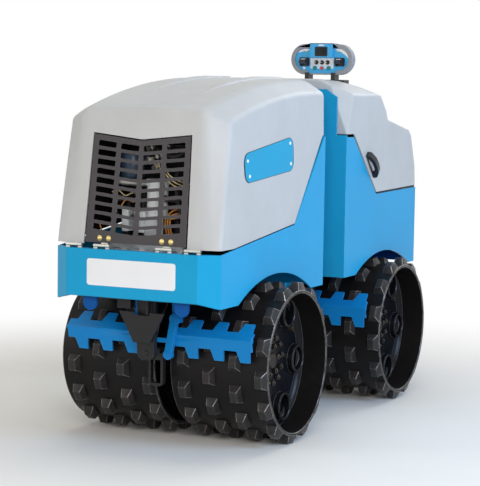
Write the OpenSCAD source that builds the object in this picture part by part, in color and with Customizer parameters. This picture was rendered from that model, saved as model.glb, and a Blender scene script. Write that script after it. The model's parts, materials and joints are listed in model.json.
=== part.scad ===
// Articulated trench roller: two pairs of padfoot drums under a front and a rear body.
// +Z is up, -Y is the end with the grille, the origin is under the middle of the machine.

/* [Overall] */
// Distance between the front and the rear drum axle
wheelbase = 1084; // [1070:2:1120]
// From the front axle to the front of the bumper
front_overhang = 513; // [509:1:530]
// From the rear axle to the back of the rear wall
rear_overhang = 375; // [370:1:400]
// Width over the side panels
body_w = 662; // [656:2:670]
// Space between the two bodies at the steering joint
artic_gap = 214; // [210:2:224]

/* [Drums] */
// Radius of a drum shell without its pads
drum_r = 270; // [266:1:272]
// Thickness of a drum shell
shell_t = 12; // [9:1:14]
// Width of one drum
drum_w = 392; // [390:1:396]
// Space between the left and the right drum
drum_gap = 66; // [60:2:70]
// Height of a pad above the shell
pad_h = 28; // [24:1:28]
// Pads round one ring
pad_count = 14; // [13:1:15]
// Rings of pads on a drum
pad_rings = 4; // [3:1:4]
// Depth of the open end in front of the web
web_recess = 114; // [104:2:116]
// Round holes in the web of a drum
web_holes = 6; // [5:1:6]
// Radius of a hole in the web
web_hole_r = 44; // [38:1:44]

/* [Body] */
// Height of the lower edge of the front panels
front_low_z = 540; // [534:1:546]
// Height of the lower edge of the rear panels
rear_low_z = 548; // [542:1:554]
// Height of the top of the bumper
bumper_top_z = 730; // [724:1:736]
// Height where the panels reach the steering joint
shoulder_z = 1121; // [1112:1:1130]
// Height of the arch above the drums
arch_top_z = 625; // [620:1:630]
// Radius of the arch above the drums
arch_r = 650; // [640:2:660]
// Thickness of the panels
panel_t = 8; // [6:1:9]
// Height of the upper side of the decks
deck_z = 660; // [658:1:664]

/* [Hoods] */
// Wall of the two hoods
hood_t = 6; // [5:1:8]
// Height of the front hood at its back edge
hood_top_z = 1341; // [1335:1:1350]
// How far the top of the front hood drops towards the grille
hood_drop = 113; // [105:1:120]
// Half width of the flat on top of the front hood
hood_flat_x = 236; // [230:1:245]
// How far the shoulder of the front hood drops at the side
hood_shoulder_h = 58; // [50:1:66]
// Lean of the front hood's face, in degrees
hood_lean = 7; // [6:0.5:8]
// Height of the rear hood at its front edge
rear_top_z = 1345; // [1340:1:1350]

/* [Grille] */
// Rows of slots in the grille
grille_rows = 10; // [8:1:10]
// Columns of slots in the grille
grille_cols = 4; // [3:1:4]
// Height of a slot
slot_h = 21; // [15:1:23]
// Width of a slot
slot_w = 74; // [60:1:76]

/* [Joints] */
// Radius of the steering pin
steer_pin_r = 25; // [22:1:28]
// Radius of the journal that lets the rear body roll
roll_pin_r = 45; // [40:1:48]
// Radius of the bore in the lifting eye
eye_bore_r = 26; // [22:1:28]

/* [Remote] */
// Width of the hand control
remote_w = 276; // [270:2:286]
// Height of the hand control's rim
remote_h = 126; // [122:1:130]
// Depth of the hand control's rim
remote_d = 34; // [30:1:38]

/* [Hidden] */

// Overrun of a cut past the face that it opens
over = 2;
// Large enough to cut the whole machine
big = 4000;
// Running clearance of a shaft in its bore
run_c = 0.05;
// Gap between pieces that turn or slide past each other
slide_c = 0.3;
// Facets of a true round and of a small round
round_n = 96;
small_n = 32;

// Places along the machine
front_y = -(front_overhang + wheelbase + rear_overhang) / 2;
rear_y = -front_y;
front_axle_y = front_y + front_overhang;
rear_axle_y = front_axle_y + wheelbase;
steer_y = (front_axle_y + rear_axle_y) / 2;
front_end_y = steer_y - artic_gap / 2;
rear_end_y = steer_y + artic_gap / 2;
half_w = body_w / 2;

// Pads: base, tip and the ring layout
pad_base_x = 50;
pad_base_y = 66;
pad_tip_x = 28;
pad_tip_y = 42;
pad_sink = shell_t / 2;
pad_first = 55;
pad_pitch = (drum_w - pad_first - pad_base_x / 2 - over / 2) / 3;
pad_step = 360 / pad_count;
pad_tip_r = drum_r + pad_h;
// The machine stands on the edges of two neighbouring rows of pads
axle_z = pad_tip_r * cos(pad_step / 4) + pad_tip_y / 2 * sin(pad_step / 4);

// Drum: shell, web, dish and hub
drum_in_x = drum_gap / 2;
drum_out_x = drum_in_x + drum_w;
web_t = 12;
web_x = drum_out_x - web_recess;
weld_w = 20;
hole_ring_r = 203;
collar_t = 10;
collar_h = 25;
hole_phase = -5;
hub_r = 128;
hub_len = 66;
hub_back_x = web_x - web_t - hub_len;
bolt_head_r = 11;
bolt_head_h = 11;
bolt_count = 12;
bolt_phase = 8;
outer_bolt_ring_r = 87;
nut_count = 6;
inner_bolt_ring_r = 54;
hub_cap_r = 30;
hub_cap_h = 12;
plug_r = 14;
plug_h = 22;
plug_rib_t = 3;
plug_rib_pitch = 7.2;
plug_ring_r = 198;
plug_phase = 32;

// Travel motor and its spindle
motor_r = 84;
spindle_r = 45;
motor_flange_r = 86;
motor_flange_t = 18;
motor_gap = 1.5;

// Leg that carries the axle between two drums
leg_half_x = 22;
leg_ring_r = 100;
leg_top_half_y = 130;
leg_foot_half_y = 70;
head_half = 160;
head_t = 16;
buffer_r = 32;
buffer_h = 24;
deck_t = 10;
deck_low_z = deck_z - deck_t;
head_top_z = deck_low_z - buffer_h;
head_low_z = head_top_z - head_t;
buffer_inset = 44;
exciter_r = 58;
exciter_bore_r = 46;
exciter_half = 190;
exciter_cap_t = 12;
exciter_rise = 146;
exciter_z = axle_z + exciter_rise;
exciter_shaft_r = 16;
weight_r = 40;
weight_half = 120;
weight_gap = 34;

// Guard and hook in front of the front leg
guard_back = 81;
guard_y = front_y + guard_back;
guard_t = 8;
guard_top_z = 505;
guard_low_z = 395;
guard_top_half = 92;
guard_low_half = 33;
guard_notch_half = 32;
guard_notch_h = 11;
guard_stay_x = 22;
guard_stay_t = 9;
guard_block_x0 = -104;
guard_block_x1 = -49;
lug_plate_back = 33;
lug_plate_y = guard_y + lug_plate_back;
lug_plate_t = 24;
lug_plate_half = 35;
lug_plate_z = 330;
lug_plate_r = 22;
lug_bolt_r = 11;
lug_bolt_h = 6;

// Towing loop in front of the gap between the drums
tow_clear = 23;
tow_ahead = pad_tip_r + tow_clear;
tow_y = front_axle_y - tow_ahead;
tow_t = 24;
tow_half = 30;
tow_z0 = 222;
tow_z1 = 345;
tow_wall = 10;
tow_round = 18;
tow_bar_half = 15;
tow_bar_h = 34;
tow_boss_h = 6;
tow_boss_y = front_axle_y - leg_ring_r - tow_boss_h;

// Scraper bars, seen from the axle
scraper_t = 8;
fold_bead = 1;
scraper_clear = 7;
scraper_out = pad_tip_r + scraper_clear;
scraper_up = 115;
scraper_end_x = 378;
scraper_in_x = 46;
scraper_up_angle = 42;
scraper_low_angle = -77;
scraper_up_bar = 30;
scraper_up_len = 72;
scraper_low_bar = 40;
scraper_low_len = 82;
tooth_tip_half = 19;
tooth_base_half = 27;
tooth_skew = 5;
arm_top_x = 76;
arm_low_x = 52;
arm_t = 18;
arm_r = 18;
arm_web_half = 14;
arm_top_z = 474;
arm_low_up = 44;
arm_low_z = axle_z + arm_low_up;
arm_bolt_r = 9;
arm_bolt_h = 7;
arm_block_y = 26;
arm_block_half = 15;
arm_bar_up = 94;
arm_bar_z = axle_z + arm_bar_up;
arm_bar_h = 16;

// Bumper
bumper_cut_x = 68;
bumper_cut_y = 50;
bumper_rise = 22;
bumper_lip = 34;
hang_lug_x = 185;
hang_lug_half = 28;
hang_lug_back = 34;
hang_lug_y = front_y + hang_lug_back;
hang_lug_t = 12;
hang_lug_z = 505;
hood_gap = 5;

// Side panel line from the bumper to the steering joint
knee_ahead = 280;
knee_h = 66;
knee_y = front_end_y - knee_ahead;
knee_z = bumper_top_z + knee_h;
panel_cut = 10;

// Front bulkhead and its steering lugs
bulkhead_t = 8;
bulkhead_head_in = 26;
bulkhead_head_drop = 92;
bulkhead_top_in = 22;
bulkhead_top_drop = 20;
bulkhead_head_half = half_w - bulkhead_head_in;
bulkhead_head_z = hood_top_z - bulkhead_head_drop;
bulkhead_top_half = hood_flat_x - bulkhead_top_in;
bulkhead_top_z = hood_top_z - bulkhead_top_drop;
lug_half_x = 66;
lug_t = 24;
lug_gap = 118;
roll_z = 540;
lug_up_z = roll_z + lug_gap / 2;
lug_low_z = roll_z - lug_gap / 2 - lug_t;
tail_left_x = -290;
tail_right_x = 130;
eye_half = 44;
eye_t = 24;
eye_z = 1232;
eye_foot_z = 1050;
eye_gusset_half = 30;

// Steering yoke, arm and cylinder
yoke_half_x = 64;
yoke_half_y = 56;
yoke_c = 0.5;
journal_len = 190;
journal_flange_r = 56;
journal_flange_t = 10;
bearing_r = 74;
bearing_len = 84;
steer_arm_z = 388;
steer_arm_t = 22;
steer_arm_len = 82;
steer_arm_angle = 104;
steer_arm_r = 30;
steer_arm_half = 25.5;
arm_eye_r = 12;
cyl_drop = 20;
cyl_z = steer_arm_z - cyl_drop;
barrel_eye_half = 14;
cyl_foot_x = -250;
cyl_foot_out = 37;
tail_z = cyl_z - barrel_eye_half - lug_t - over;
barrel_r = 26;
barrel_bore_r = 20;
barrel_len = 150;
barrel_eye_r = 24;
foot_pin_r = 12;
rod_r = 13;
rod_eye_r = 30;
rod_eye_bore_r = 22;
rod_eye_half = 12;
piston_len = 24;
cyl_dx = steer_arm_len * cos(steer_arm_angle) - cyl_foot_x;
cyl_dy = steer_arm_len * sin(steer_arm_angle) + artic_gap / 2 - cyl_foot_out;
cyl_angle = atan2(cyl_dy, cyl_dx);
cyl_len = sqrt(cyl_dx * cyl_dx + cyl_dy * cyl_dy);

// Front hood: face, corner cuts, opening behind the grille
face_back = 26;
face_foot_y = front_y + face_back;
face_foot_half = 261;
face_foot_h = 15;
face_foot_z = bumper_top_z + face_foot_h;
corner_yaw = 32;
corner_lean = 7;
hood_side_in = 11;
hood_side_z = 800;
hood_end_gap = 7;
hood_back_y = front_end_y - hood_end_gap;
crown_ahead = 70;
crown_y = hood_back_y - crown_ahead;
face_run = 57;
face_top_y = face_foot_y + face_run;
hood_open = 40;
hood_run = crown_y - face_top_y;
crown_r = (hood_run * hood_run + hood_drop * hood_drop) / (2 * hood_drop);
rib_x = 112;
rib_half = 32;
rib_h = 10;
rib_start = 670;
rib_stop = 90;
rib_y0 = hood_back_y - rib_start;
rib_y1 = hood_back_y - rib_stop;
rib_end = 60;
hinge_back = 11;
hinge_h = 12;
hinge_y = front_y + hinge_back;
hinge_z = bumper_top_z + hinge_h;
hinge_r = 6;
hinge_pin_r = 3;
hinge_leaf_t = 3;
hood_hinge_x = 238;
hinge_half = 32;
grille_hinge_x = 125;
grille_leaf_half = 14;
leaf_lap = 0.5;

// Grille plate
grille_t = 4;
grille_foot_z = 751;
grille_h = 388;
grille_foot_half = 202;
grille_top_half = 193;
grille_dip = 21;
grille_set_back = 5;
grille_gap = 5;
grille_flare = 1.5;
slot_round = 4;
row_pitch = 33;
row_top = 30;
col_pitch = 92;
chevron = 6;
opening_foot_half = grille_foot_half + grille_gap + grille_flare;
opening_half = grille_top_half + grille_gap;
opening_top_z = grille_foot_z + grille_h * cos(hood_lean) + grille_gap;
grille_bolt_r = 9;
grille_bolt_h = 5;
grille_bolt_z = 16;
grille_bolt_dx = 18;

// Engine and what surrounds it
engine_x = 260;
engine_len = 300;
engine_gap = 132;
engine_y1 = front_end_y - engine_gap;
engine_y0 = engine_y1 - engine_len;
engine_h = 291;
mount_h = 34;
engine_z1 = deck_z + mount_h + engine_h;
mount_r = 26;
foot_t = 16;
foot_out = 30;
head_x = 200;
head_h = 90;
head_z1 = engine_z1 + head_h;
head_inset = 22;
fin_t = 5;
fin_gap = 15;
fin_out = 12;
fan_ahead = 50;
fan_y = engine_y0 - fan_ahead;
fan_below = 105;
fan_z = engine_z1 - fan_below;
fan_r = 150;
fan_hub_r = 42;
fan_hub_t = 34;
fan_blades = 7;
blade_t = 4;
blade_pitch = 32;
blade_chord = 62;
fan_shaft_r = 14;
fan_boss_r = 30;
fan_boss_len = 10;
radiator_ahead = 170;
radiator_y0 = engine_y0 - radiator_ahead;
radiator_t = 58;
radiator_half = 200;
radiator_foot = 30;
radiator_h = 430;
radiator_z0 = deck_z + radiator_foot;
radiator_z1 = deck_z + radiator_h;
shroud_len = 46;
shroud_t = 4;
core_fins = 14;
core_fin_h = 8;
core_slot_h = 12;
core_pitch = 24;
core_edge = 16;
core_d = 16;
silencer_r = 62;
silencer_len = 260;
silencer_x = -215;
silencer_z = 1090;
pipe_r = 22;
filter_r = 66;
filter_len = 230;
filter_x = 205;
filter_z = 1080;
canister_r = 38;
canister_h = 118;
canister_x = 20;
canister_z = 838;
canister_cap_h = 22;
valve_x = 300;
valve_y = 90;
valve_z = 110;
valve_ahead = 190;
valve_at_y = radiator_y0 - valve_ahead;
spool_r = 15;
spool_len = 34;
spool_count = 4;
pump_r = 58;
pump_len = 74;
pump_flange_r = 72;
pump_flange_t = 14;
pump_z = 840;
hose_r = 11;
hose_bend_r = 60;
hose_up = 150;
hose_gap = 46;
hose_count = 5;
hose_first_x = -120;

// Rear body
rear_panel_top_z = 866;
rear_knee_rise = 4;
rear_end_rise = 11;
rear_knee_run = 336;
rear_slope_run = 76;
rear_knee_y = rear_end_y + rear_knee_run;
rear_slope_y = rear_end_y + rear_slope_run;
neck_half = 286;
neck_z = 1273;
neck_top_half = 236;
neck_top_z = 1304;

// Rear hood outline
rear_hood_gap = 4;
rear_cut = 45;
rear_ledge_run = 427;
rear_ledge_y = rear_end_y + rear_ledge_run;
rear_ledge_z = 1219;
rear_step_run = 453;
rear_step_y = rear_end_y + rear_step_run;
rear_step_z = 1178;
rear_brow_run = 377;
rear_brow_y = rear_end_y + rear_brow_run;
rear_brow_z = 1265;
rear_tail_run = 702;
rear_tail_y = rear_end_y + rear_tail_run;
rear_tail_z = 1130;
rear_corner_run = 737;
rear_corner_y = rear_end_y + rear_corner_run;
rear_corner_z = 1106;
rear_back_run = 795;
rear_back_y = rear_end_y + rear_back_run;
rear_back_z = 973;
rear_foot_in = 2;
rear_foot_y = rear_y - rear_foot_in;
rear_foot_z = 887;
rear_crease_z = 1283;
rear_flat_x = 205;
rear_sag = 8;
rear_front_y = rear_end_y + bulkhead_t + rear_hood_gap;
rear_mid_y = (rear_front_y + rear_brow_y) / 2;
rear_hinge_in = 8;
rear_hinge_y = rear_y - rear_hinge_in;
rear_hinge_z = 874;
rear_hinge_x = 200;

// Handle on each side of the rear hood
grip_run = 255;
grip_y = rear_end_y + grip_run;
grip_z = 995;
grip_len = 112;
grip_out = 30;
grip_t = 15;
grip_w = 22;
grip_lean = 43;

// Tanks and battery
fuel_half_x = 190;
fuel_len = 205;
fuel_gap = 81;
fuel_y1 = rear_y - fuel_gap;
fuel_y0 = fuel_y1 - fuel_len;
fuel_z1 = 1040;
oil_side_gap = 23;
oil_half_x = half_w - panel_t - oil_side_gap;
oil_gap = 24;
oil_len = 220;
oil_y0 = rear_end_y + oil_gap;
oil_y1 = oil_y0 + oil_len;
oil_z1 = 1080;
cap_r = 34;
cap_h = 22;
battery_half_x = 130;
battery_gap = 35;
battery_len = 185;
battery_y0 = oil_y1 + battery_gap;
battery_y1 = battery_y0 + battery_len;
battery_z1 = 850;
post_r = 9;
post_h = 16;
post_x = 95;

// Hand control: places on its face, seen from its centre
remote_x = 125;
remote_run = 226;
remote_y = rear_end_y + remote_run;
remote_foot_z = 1362;
remote_z = remote_foot_z + remote_h / 2;
remote_back = 30;
rim_t = 18;
face_in = 6;
chin_half = 62;
chin_low = 57;
screen_w = 100;
screen_h = 56;
screen_foot = 8;
screen_out = 12;
bow_t = 3;
glass_w = 49;
glass_h = 33;
glass_up = 8;
stick_x = 79;
stick_z = -10;
stick_half = 12;
stick_len = 30;
stick_w = 22;
ear_t = 4;
ear_out = 14;
ear_half = 18;
stick_pin_r = 3;
toggle_gap = 25;
toggle_z = -12;
toggle_r = 2;
toggle_ball_r = 3.6;
toggle_len = 15;
bush_r = 7;
bush_h = 6;
bush_bore_r = 4;
button_gap = 31;
button_z = -36;
button_r = 8;
button_out = 4;
bezel_t = 2;
bezel_h = 3;
press_d = 2;
stop_r = 7;
cradle_d = 56;
cradle_x0 = -72;
cradle_x1 = 45;
cradle_x2 = 106;
cradle_post_w = 18;
cradle_plate_z = 1342;
cradle_wall = 6;
cradle_lip = 9;

body_blue = "#3A9FDB";
hood_grey = "#C9CCD2";
cast_dark = "#3B3A3C";
steel_dark = "#55565A";

// Extrudes an outline of [y, z] points from x0 to x1
module xslab(points, x0, x1) {
    translate([x0, 0, 0]) rotate([90, 0, 90]) linear_extrude(x1 - x0) polygon(points);
}

// Extrudes an outline of [x, z] points from y0 to y1
module yslab(points, y0, y1) {
    translate([0, y1, 0]) rotate([90, 0, 0]) linear_extrude(y1 - y0) polygon(points);
}

// Extrudes an outline of [x, y] points from z0 to z1
module zslab(points, z0, z1) {
    translate([0, 0, z0]) linear_extrude(z1 - z0) polygon(points);
}

module block(low, high) {
    translate(low) cube(high - low);
}

module xcyl(r, x0, x1, y, z, n = round_n) {
    translate([x0, y, z]) rotate([0, 90, 0]) cylinder(r = r, h = x1 - x0, $fn = n);
}

module ycyl(r, y0, y1, x, z, n = round_n) {
    translate([x, y1, z]) rotate([90, 0, 0]) cylinder(r = r, h = y1 - y0, $fn = n);
}

module zcyl(r, z0, z1, x, y, n = round_n) {
    translate([x, y, z0]) cylinder(r = r, h = z1 - z0, $fn = n);
}

module both_sides() {
    children();
    mirror([1, 0, 0]) children();
}

// Drums

// One pad, standing on the shell at the top of the drum
module pad() {
    intersection() {
        xslab([
            [-pad_base_y / 2, drum_r - pad_sink], [pad_base_y / 2, drum_r - pad_sink],
            [pad_base_y / 2, drum_r], [pad_tip_y / 2, pad_tip_r],
            [-pad_tip_y / 2, pad_tip_r], [-pad_base_y / 2, drum_r]
        ], -pad_base_x / 2, pad_base_x / 2);
        yslab([
            [-pad_base_x / 2, drum_r - pad_sink], [pad_base_x / 2, drum_r - pad_sink],
            [pad_base_x / 2, drum_r], [pad_tip_x / 2, pad_tip_r],
            [-pad_tip_x / 2, pad_tip_r], [-pad_base_x / 2, drum_r]
        ], -pad_base_y / 2, pad_base_y / 2);
    }
}

// Middle of a ring of pads, counted from the drum's left edge
function ring_x(left, k) = left + pad_first + k * pad_pitch;

// The rings are staggered by half a pitch
module pad_field(left, lead) {
    for (k = [0 : pad_rings - 1], i = [0 : pad_count - 1])
        translate([ring_x(left, k), 0, 0])
            rotate([180 + i * pad_step + (k % 2 == 0 ? lead : -lead) * pad_step / 4, 0, 0])
                pad();
}

// Shell, web, dish and collars of a right drum, about its axle
module drum_casting() {
    difference() {
        union() {
            rotate([0, 90, 0]) rotate_extrude($fn = round_n) polygon([
                [drum_r - shell_t, drum_in_x], [drum_r, drum_in_x],
                [drum_r, drum_out_x], [drum_r - shell_t, drum_out_x],
                [drum_r - shell_t, web_x + weld_w], [drum_r - shell_t - weld_w, web_x],
                [spindle_r, web_x], [spindle_r, web_x - web_t], [drum_r - shell_t, web_x - web_t]
            ]);
            for (i = [0 : web_holes - 1]) rotate([hole_phase + i * 360 / web_holes, 0, 0])
                xcyl(web_hole_r + collar_t, web_x - web_t, web_x + collar_h, hole_ring_r, 0);
        }
        for (i = [0 : web_holes - 1]) rotate([hole_phase + i * 360 / web_holes, 0, 0])
            xcyl(web_hole_r, web_x - web_t - over, web_x + collar_h + over, hole_ring_r, 0);
    }
}

// Hub that turns on the motor's spindle, with its cap, bolts and the filler plug
module drum_hub() {
    difference() {
        union() {
            xcyl(hub_r, hub_back_x, web_x - web_t, 0, 0);
            xcyl(spindle_r + over, web_x - web_t - over, web_x, 0, 0);
        }
        xcyl(spindle_r - bolt_head_r + run_c, hub_back_x - over, web_x - web_t - over, 0, 0);
    }
    xcyl(hub_cap_r, web_x - over, web_x + hub_cap_h, 0, 0);
    for (i = [0 : bolt_count - 1]) rotate([bolt_phase + i * 360 / bolt_count, 0, 0])
        xcyl(bolt_head_r, web_x - over, web_x + bolt_head_h, outer_bolt_ring_r, 0, 6);
    for (i = [0 : nut_count - 1]) rotate([bolt_phase + i * 360 / nut_count, 0, 0])
        xcyl(bolt_head_r, web_x - over, web_x + bolt_head_h, inner_bolt_ring_r, 0, 6);
    rotate([plug_phase, 0, 0]) {
        xcyl(plug_r - plug_rib_t, web_x - over, web_x + plug_h, plug_ring_r, 0);
        for (i = [0 : 2]) xcyl(plug_r, web_x + i * plug_rib_pitch - (i == 0 ? over : 0),
            web_x + i * plug_rib_pitch + plug_rib_t, plug_ring_r, 0);
    }
}

module drum(y, side) {
    color(cast_dark) translate([0, y, axle_z]) {
        union() {
            mirror([side > 0 ? 0 : 1, 0, 0]) drum_casting();
            pad_field(side > 0 ? drum_in_x : -drum_out_x, side);
        }
        mirror([side > 0 ? 0 : 1, 0, 0]) drum_hub();
    }
}

module drum_front_right() { drum(front_axle_y, 1); }
module drum_front_left() { drum(front_axle_y, -1); }
module drum_rear_right() { drum(rear_axle_y, 1); }
module drum_rear_left() { drum(rear_axle_y, -1); }

// Travel motors: body on the leg, spindle in the hub
module travel_motors(y) {
    color(steel_dark) both_sides() translate([0, y, axle_z]) {
        xcyl(motor_flange_r, leg_half_x, leg_half_x + motor_flange_t, 0, 0);
        xcyl(motor_r, leg_half_x + motor_flange_t, hub_back_x - motor_gap, 0, 0);
        xcyl(spindle_r - bolt_head_r, hub_back_x - motor_gap - over, web_x - web_t - over - motor_gap, 0,
            0);
    }
}

module front_travel_motors() { travel_motors(front_axle_y); }
module rear_travel_motors() { travel_motors(rear_axle_y); }

// Leg between the drums, with the exciter housing and the head under the buffers
module leg(y) {
    difference() {
        union() {
            translate([0, y, 0]) {
                xslab([
                    [-leg_foot_half_y, axle_z], [leg_foot_half_y, axle_z],
                    [leg_top_half_y, head_low_z], [-leg_top_half_y, head_low_z]
                ], -leg_half_x, leg_half_x);
                xcyl(leg_ring_r, -leg_half_x, leg_half_x, 0, axle_z);
                block([-head_half, -head_half, head_low_z], [head_half, head_half, head_top_z]);
                xcyl(exciter_r, -exciter_half, exciter_half, 0, exciter_z);
            }
        }
        xcyl(exciter_bore_r, -exciter_half + exciter_cap_t, exciter_half - exciter_cap_t, y, exciter_z);
        xcyl(exciter_shaft_r + run_c, -exciter_half - over, exciter_half + over, y, exciter_z);
    }
}

// Plate in front of the front leg, and the hook under it
module leg_guard() {
    yslab([
        [-guard_top_half, guard_top_z], [-guard_notch_half, guard_top_z],
        [-guard_notch_half, guard_top_z - guard_notch_h],
        [guard_notch_half, guard_top_z - guard_notch_h],
        [guard_notch_half, guard_top_z], [guard_top_half, guard_top_z],
        [guard_low_half, guard_low_z], [-guard_low_half, guard_low_z]
    ], guard_y, guard_y + guard_t);
    // Stay between the plate and the deck
    block([guard_stay_x - guard_stay_t, guard_y + guard_t, guard_low_z],
        [guard_stay_x, lug_plate_y, deck_low_z]);
    block([guard_block_x0, guard_y + guard_t, guard_top_z + guard_t],
        [guard_block_x1, lug_plate_y, deck_low_z]);
    // Plate with one bolt below it
    block([-lug_plate_half, lug_plate_y, lug_plate_z + lug_plate_r],
        [lug_plate_half, lug_plate_y + lug_plate_t, deck_low_z]);
    block([-lug_plate_half + lug_plate_r, lug_plate_y, lug_plate_z],
        [lug_plate_half - lug_plate_r, lug_plate_y + lug_plate_t, lug_plate_z + lug_plate_r]);
    for (s = [-1, 1]) ycyl(lug_plate_r, lug_plate_y, lug_plate_y + lug_plate_t,
        s * (lug_plate_half - lug_plate_r), lug_plate_z + lug_plate_r);
    ycyl(lug_bolt_r, lug_plate_y - lug_bolt_h, lug_plate_y, 0, lug_plate_z + lug_plate_r, small_n);
}

// Loop on a bar that comes forward from the leg between the drums
module tow_loop() {
    color(steel_dark) difference() {
        union() {
            block([-tow_half, tow_y, tow_z0 + tow_round], [tow_half, tow_y + tow_t, tow_z1]);
            block([-tow_half + tow_round, tow_y, tow_z0],
                [tow_half - tow_round, tow_y + tow_t, tow_z0 + tow_round]);
            for (s = [-1, 1])
                ycyl(tow_round, tow_y, tow_y + tow_t, s * (tow_half - tow_round), tow_z0 + tow_round);
            block([-tow_bar_half, tow_y, tow_z1 - tow_bar_h / 2],
                [tow_bar_half, tow_boss_y, tow_z1 + tow_bar_h / 2]);
        }
        block([-tow_half + tow_wall, tow_y - over, tow_z0 + tow_wall + over],
            [tow_half - tow_wall, tow_y + tow_t + over, tow_z1 - tow_bar_h / 2 - tow_wall]);
    }
}

module front_leg() {
    color(steel_dark) {
        leg(front_axle_y);
        block([-leg_half_x, tow_boss_y, tow_z1 - tow_bar_h / 2],
            [leg_half_x, front_axle_y, tow_z1 + tow_bar_h / 2]);
        leg_guard();
    }
}

module rear_leg() { color(steel_dark) leg(rear_axle_y); }

// Rubber buffers between a leg's head and the deck
module leg_buffers(y) {
    for (sx = [-1, 1], sy = [-1, 1])
        zcyl(buffer_r, head_top_z, deck_low_z,
            sx * (head_half - buffer_inset), y + sy * (head_half - buffer_inset));
}

module front_buffers() {
    color("#222222") {
        leg_buffers(front_axle_y);
        for (sx = [-1, 1], ey = [engine_y0 + mount_r, engine_y1 - mount_r])
            zcyl(mount_r, deck_z, deck_z + mount_h, sx * (engine_x / 2), ey);
    }
}

module rear_buffers() { color("#222222") leg_buffers(rear_axle_y); }

// Exciter shaft with its two half-round weights, hanging down
module exciter_shaft(y) {
    color("silver") {
        xcyl(exciter_shaft_r, -exciter_half - exciter_cap_t, exciter_half + exciter_cap_t, y, exciter_z);
        both_sides() difference() {
            xcyl(weight_r, weight_gap, weight_gap + weight_half, y, exciter_z);
            block([0, y - weight_r - over, exciter_z],
                [exciter_half, y + weight_r + over, exciter_z + weight_r + over]);
        }
    }
}

module front_exciter_shaft() { exciter_shaft(front_axle_y); }
module rear_exciter_shaft() { exciter_shaft(rear_axle_y); }

// Scrapers

// One leaf of a scraper bar, lying in XY with its fold on the X axis
module scraper_leaf(left, x0, x1, bar, reach) {
    linear_extrude(scraper_t) union() {
        polygon([[x0, 0], [x1, 0], [x1, bar], [x0, bar]]);
        for (k = [0 : pad_rings - 2]) {
            mid = ring_x(left, k) + pad_pitch / 2;
            polygon([
                [mid - tooth_base_half - tooth_skew, bar - over],
                [mid + tooth_base_half - tooth_skew, bar - over],
                [mid + tooth_tip_half, reach], [mid - tooth_tip_half, reach]
            ]);
        }
    }
}

// Bar with two toothed leaves in front of a drum, seen from the axle
module scraper_bar(left, x0, x1) {
    translate([0, -scraper_out, scraper_up]) {
        xcyl(scraper_t + fold_bead, x0 - fold_bead, x1 + fold_bead, 0, 0);
        rotate([scraper_up_angle, 0, 0]) scraper_leaf(left, x0, x1, scraper_up_bar, scraper_up_len);
        mirror([0, 0, 1]) rotate([-scraper_low_angle, 0, 0])
            scraper_leaf(left, x0, x1, scraper_low_bar, scraper_low_len);
    }
}

// Arm that holds the inner end of a bar, hung from a block under the deck
module scraper_arm(y) {
    arm_y = y - scraper_out - scraper_t - arm_t + over;
    lean = atan2(arm_top_x - arm_low_x, arm_top_z - arm_low_z);
    reach = (arm_top_z - arm_low_z) / cos(lean);
    translate([arm_low_x, 0, arm_low_z]) rotate([0, lean, 0]) {
        ycyl(arm_r, arm_y, arm_y + arm_t, 0, 0);
        ycyl(arm_r, arm_y, arm_y + arm_t, 0, reach);
        block([-arm_web_half, arm_y, 0], [arm_web_half, arm_y + arm_t, reach]);
        ycyl(arm_bolt_r, arm_y - arm_bolt_h, arm_y, 0, 0, 6);
        ycyl(arm_bolt_r, arm_y - arm_bolt_h, arm_y, 0, reach, 6);
    }
    block([arm_top_x - arm_block_half, arm_y + arm_t - over, arm_top_z - arm_block_half],
        [arm_top_x + arm_block_half, arm_y + arm_t + arm_block_y, deck_low_z]);
    block([0, arm_y + arm_t - scraper_t, arm_bar_z - arm_bar_h / 2],
        [arm_top_x, arm_y + arm_t, arm_bar_z + arm_bar_h / 2]);
}

module drum_scrapers(y) {
    for (flip = [0, 1]) translate([0, y, 0]) mirror([0, flip, 0]) translate([0, -y, 0]) {
        translate([0, y, axle_z]) {
            scraper_bar(drum_in_x, scraper_in_x, scraper_end_x);
            scraper_bar(-drum_out_x, -scraper_end_x, -scraper_in_x);
        }
        both_sides() scraper_arm(y);
    }
}

module front_scrapers() { color(body_blue) drum_scrapers(front_axle_y); }
module rear_scrapers() { color(body_blue) drum_scrapers(rear_axle_y); }

// Front body

// Outline of the bumper seen from above, made smaller by inset
function bumper_outline(inset, back) = [
    [-half_w + inset, front_y + bumper_cut_y + back], [-half_w + inset, front_y + bumper_cut_y + inset / 2],
    [-half_w + bumper_cut_x + inset / 2, front_y + inset],
    [half_w - bumper_cut_x - inset / 2, front_y + inset],
    [half_w - inset, front_y + bumper_cut_y + inset / 2], [half_w - inset, front_y + bumper_cut_y + back]
];

module front_bumper() {
    color(body_blue) intersection() {
        difference() {
            zslab(bumper_outline(0, panel_t * 2), front_low_z, bumper_top_z);
            zslab(bumper_outline(panel_t, panel_t * 3), front_low_z - over, bumper_top_z - panel_t);
            zslab(bumper_outline(bumper_lip, panel_t * 3), front_low_z - over, bumper_top_z + over);
        }
        xslab([
            [front_y - over, front_low_z + bumper_rise], [front_y + bumper_cut_y, front_low_z],
            [front_y + bumper_cut_y, bumper_top_z + over], [front_y - over, bumper_top_z + over]
        ], -half_w, half_w);
    }
}

module arch(y, x0, x1) {
    xcyl(arch_r, x0 - over, x1 + over, y, arch_top_z - arch_r, round_n * 2);
}

module front_side(x0, x1) {
    color(body_blue) difference() {
        xslab([
            [front_y + bumper_cut_y, front_low_z], [front_end_y, front_low_z],
            [front_end_y, shoulder_z], [front_end_y - panel_cut, shoulder_z],
            [knee_y, knee_z], [front_y + bumper_cut_y, bumper_top_z]
        ], x0, x1);
        arch(front_axle_y, x0, x1);
    }
}

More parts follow.
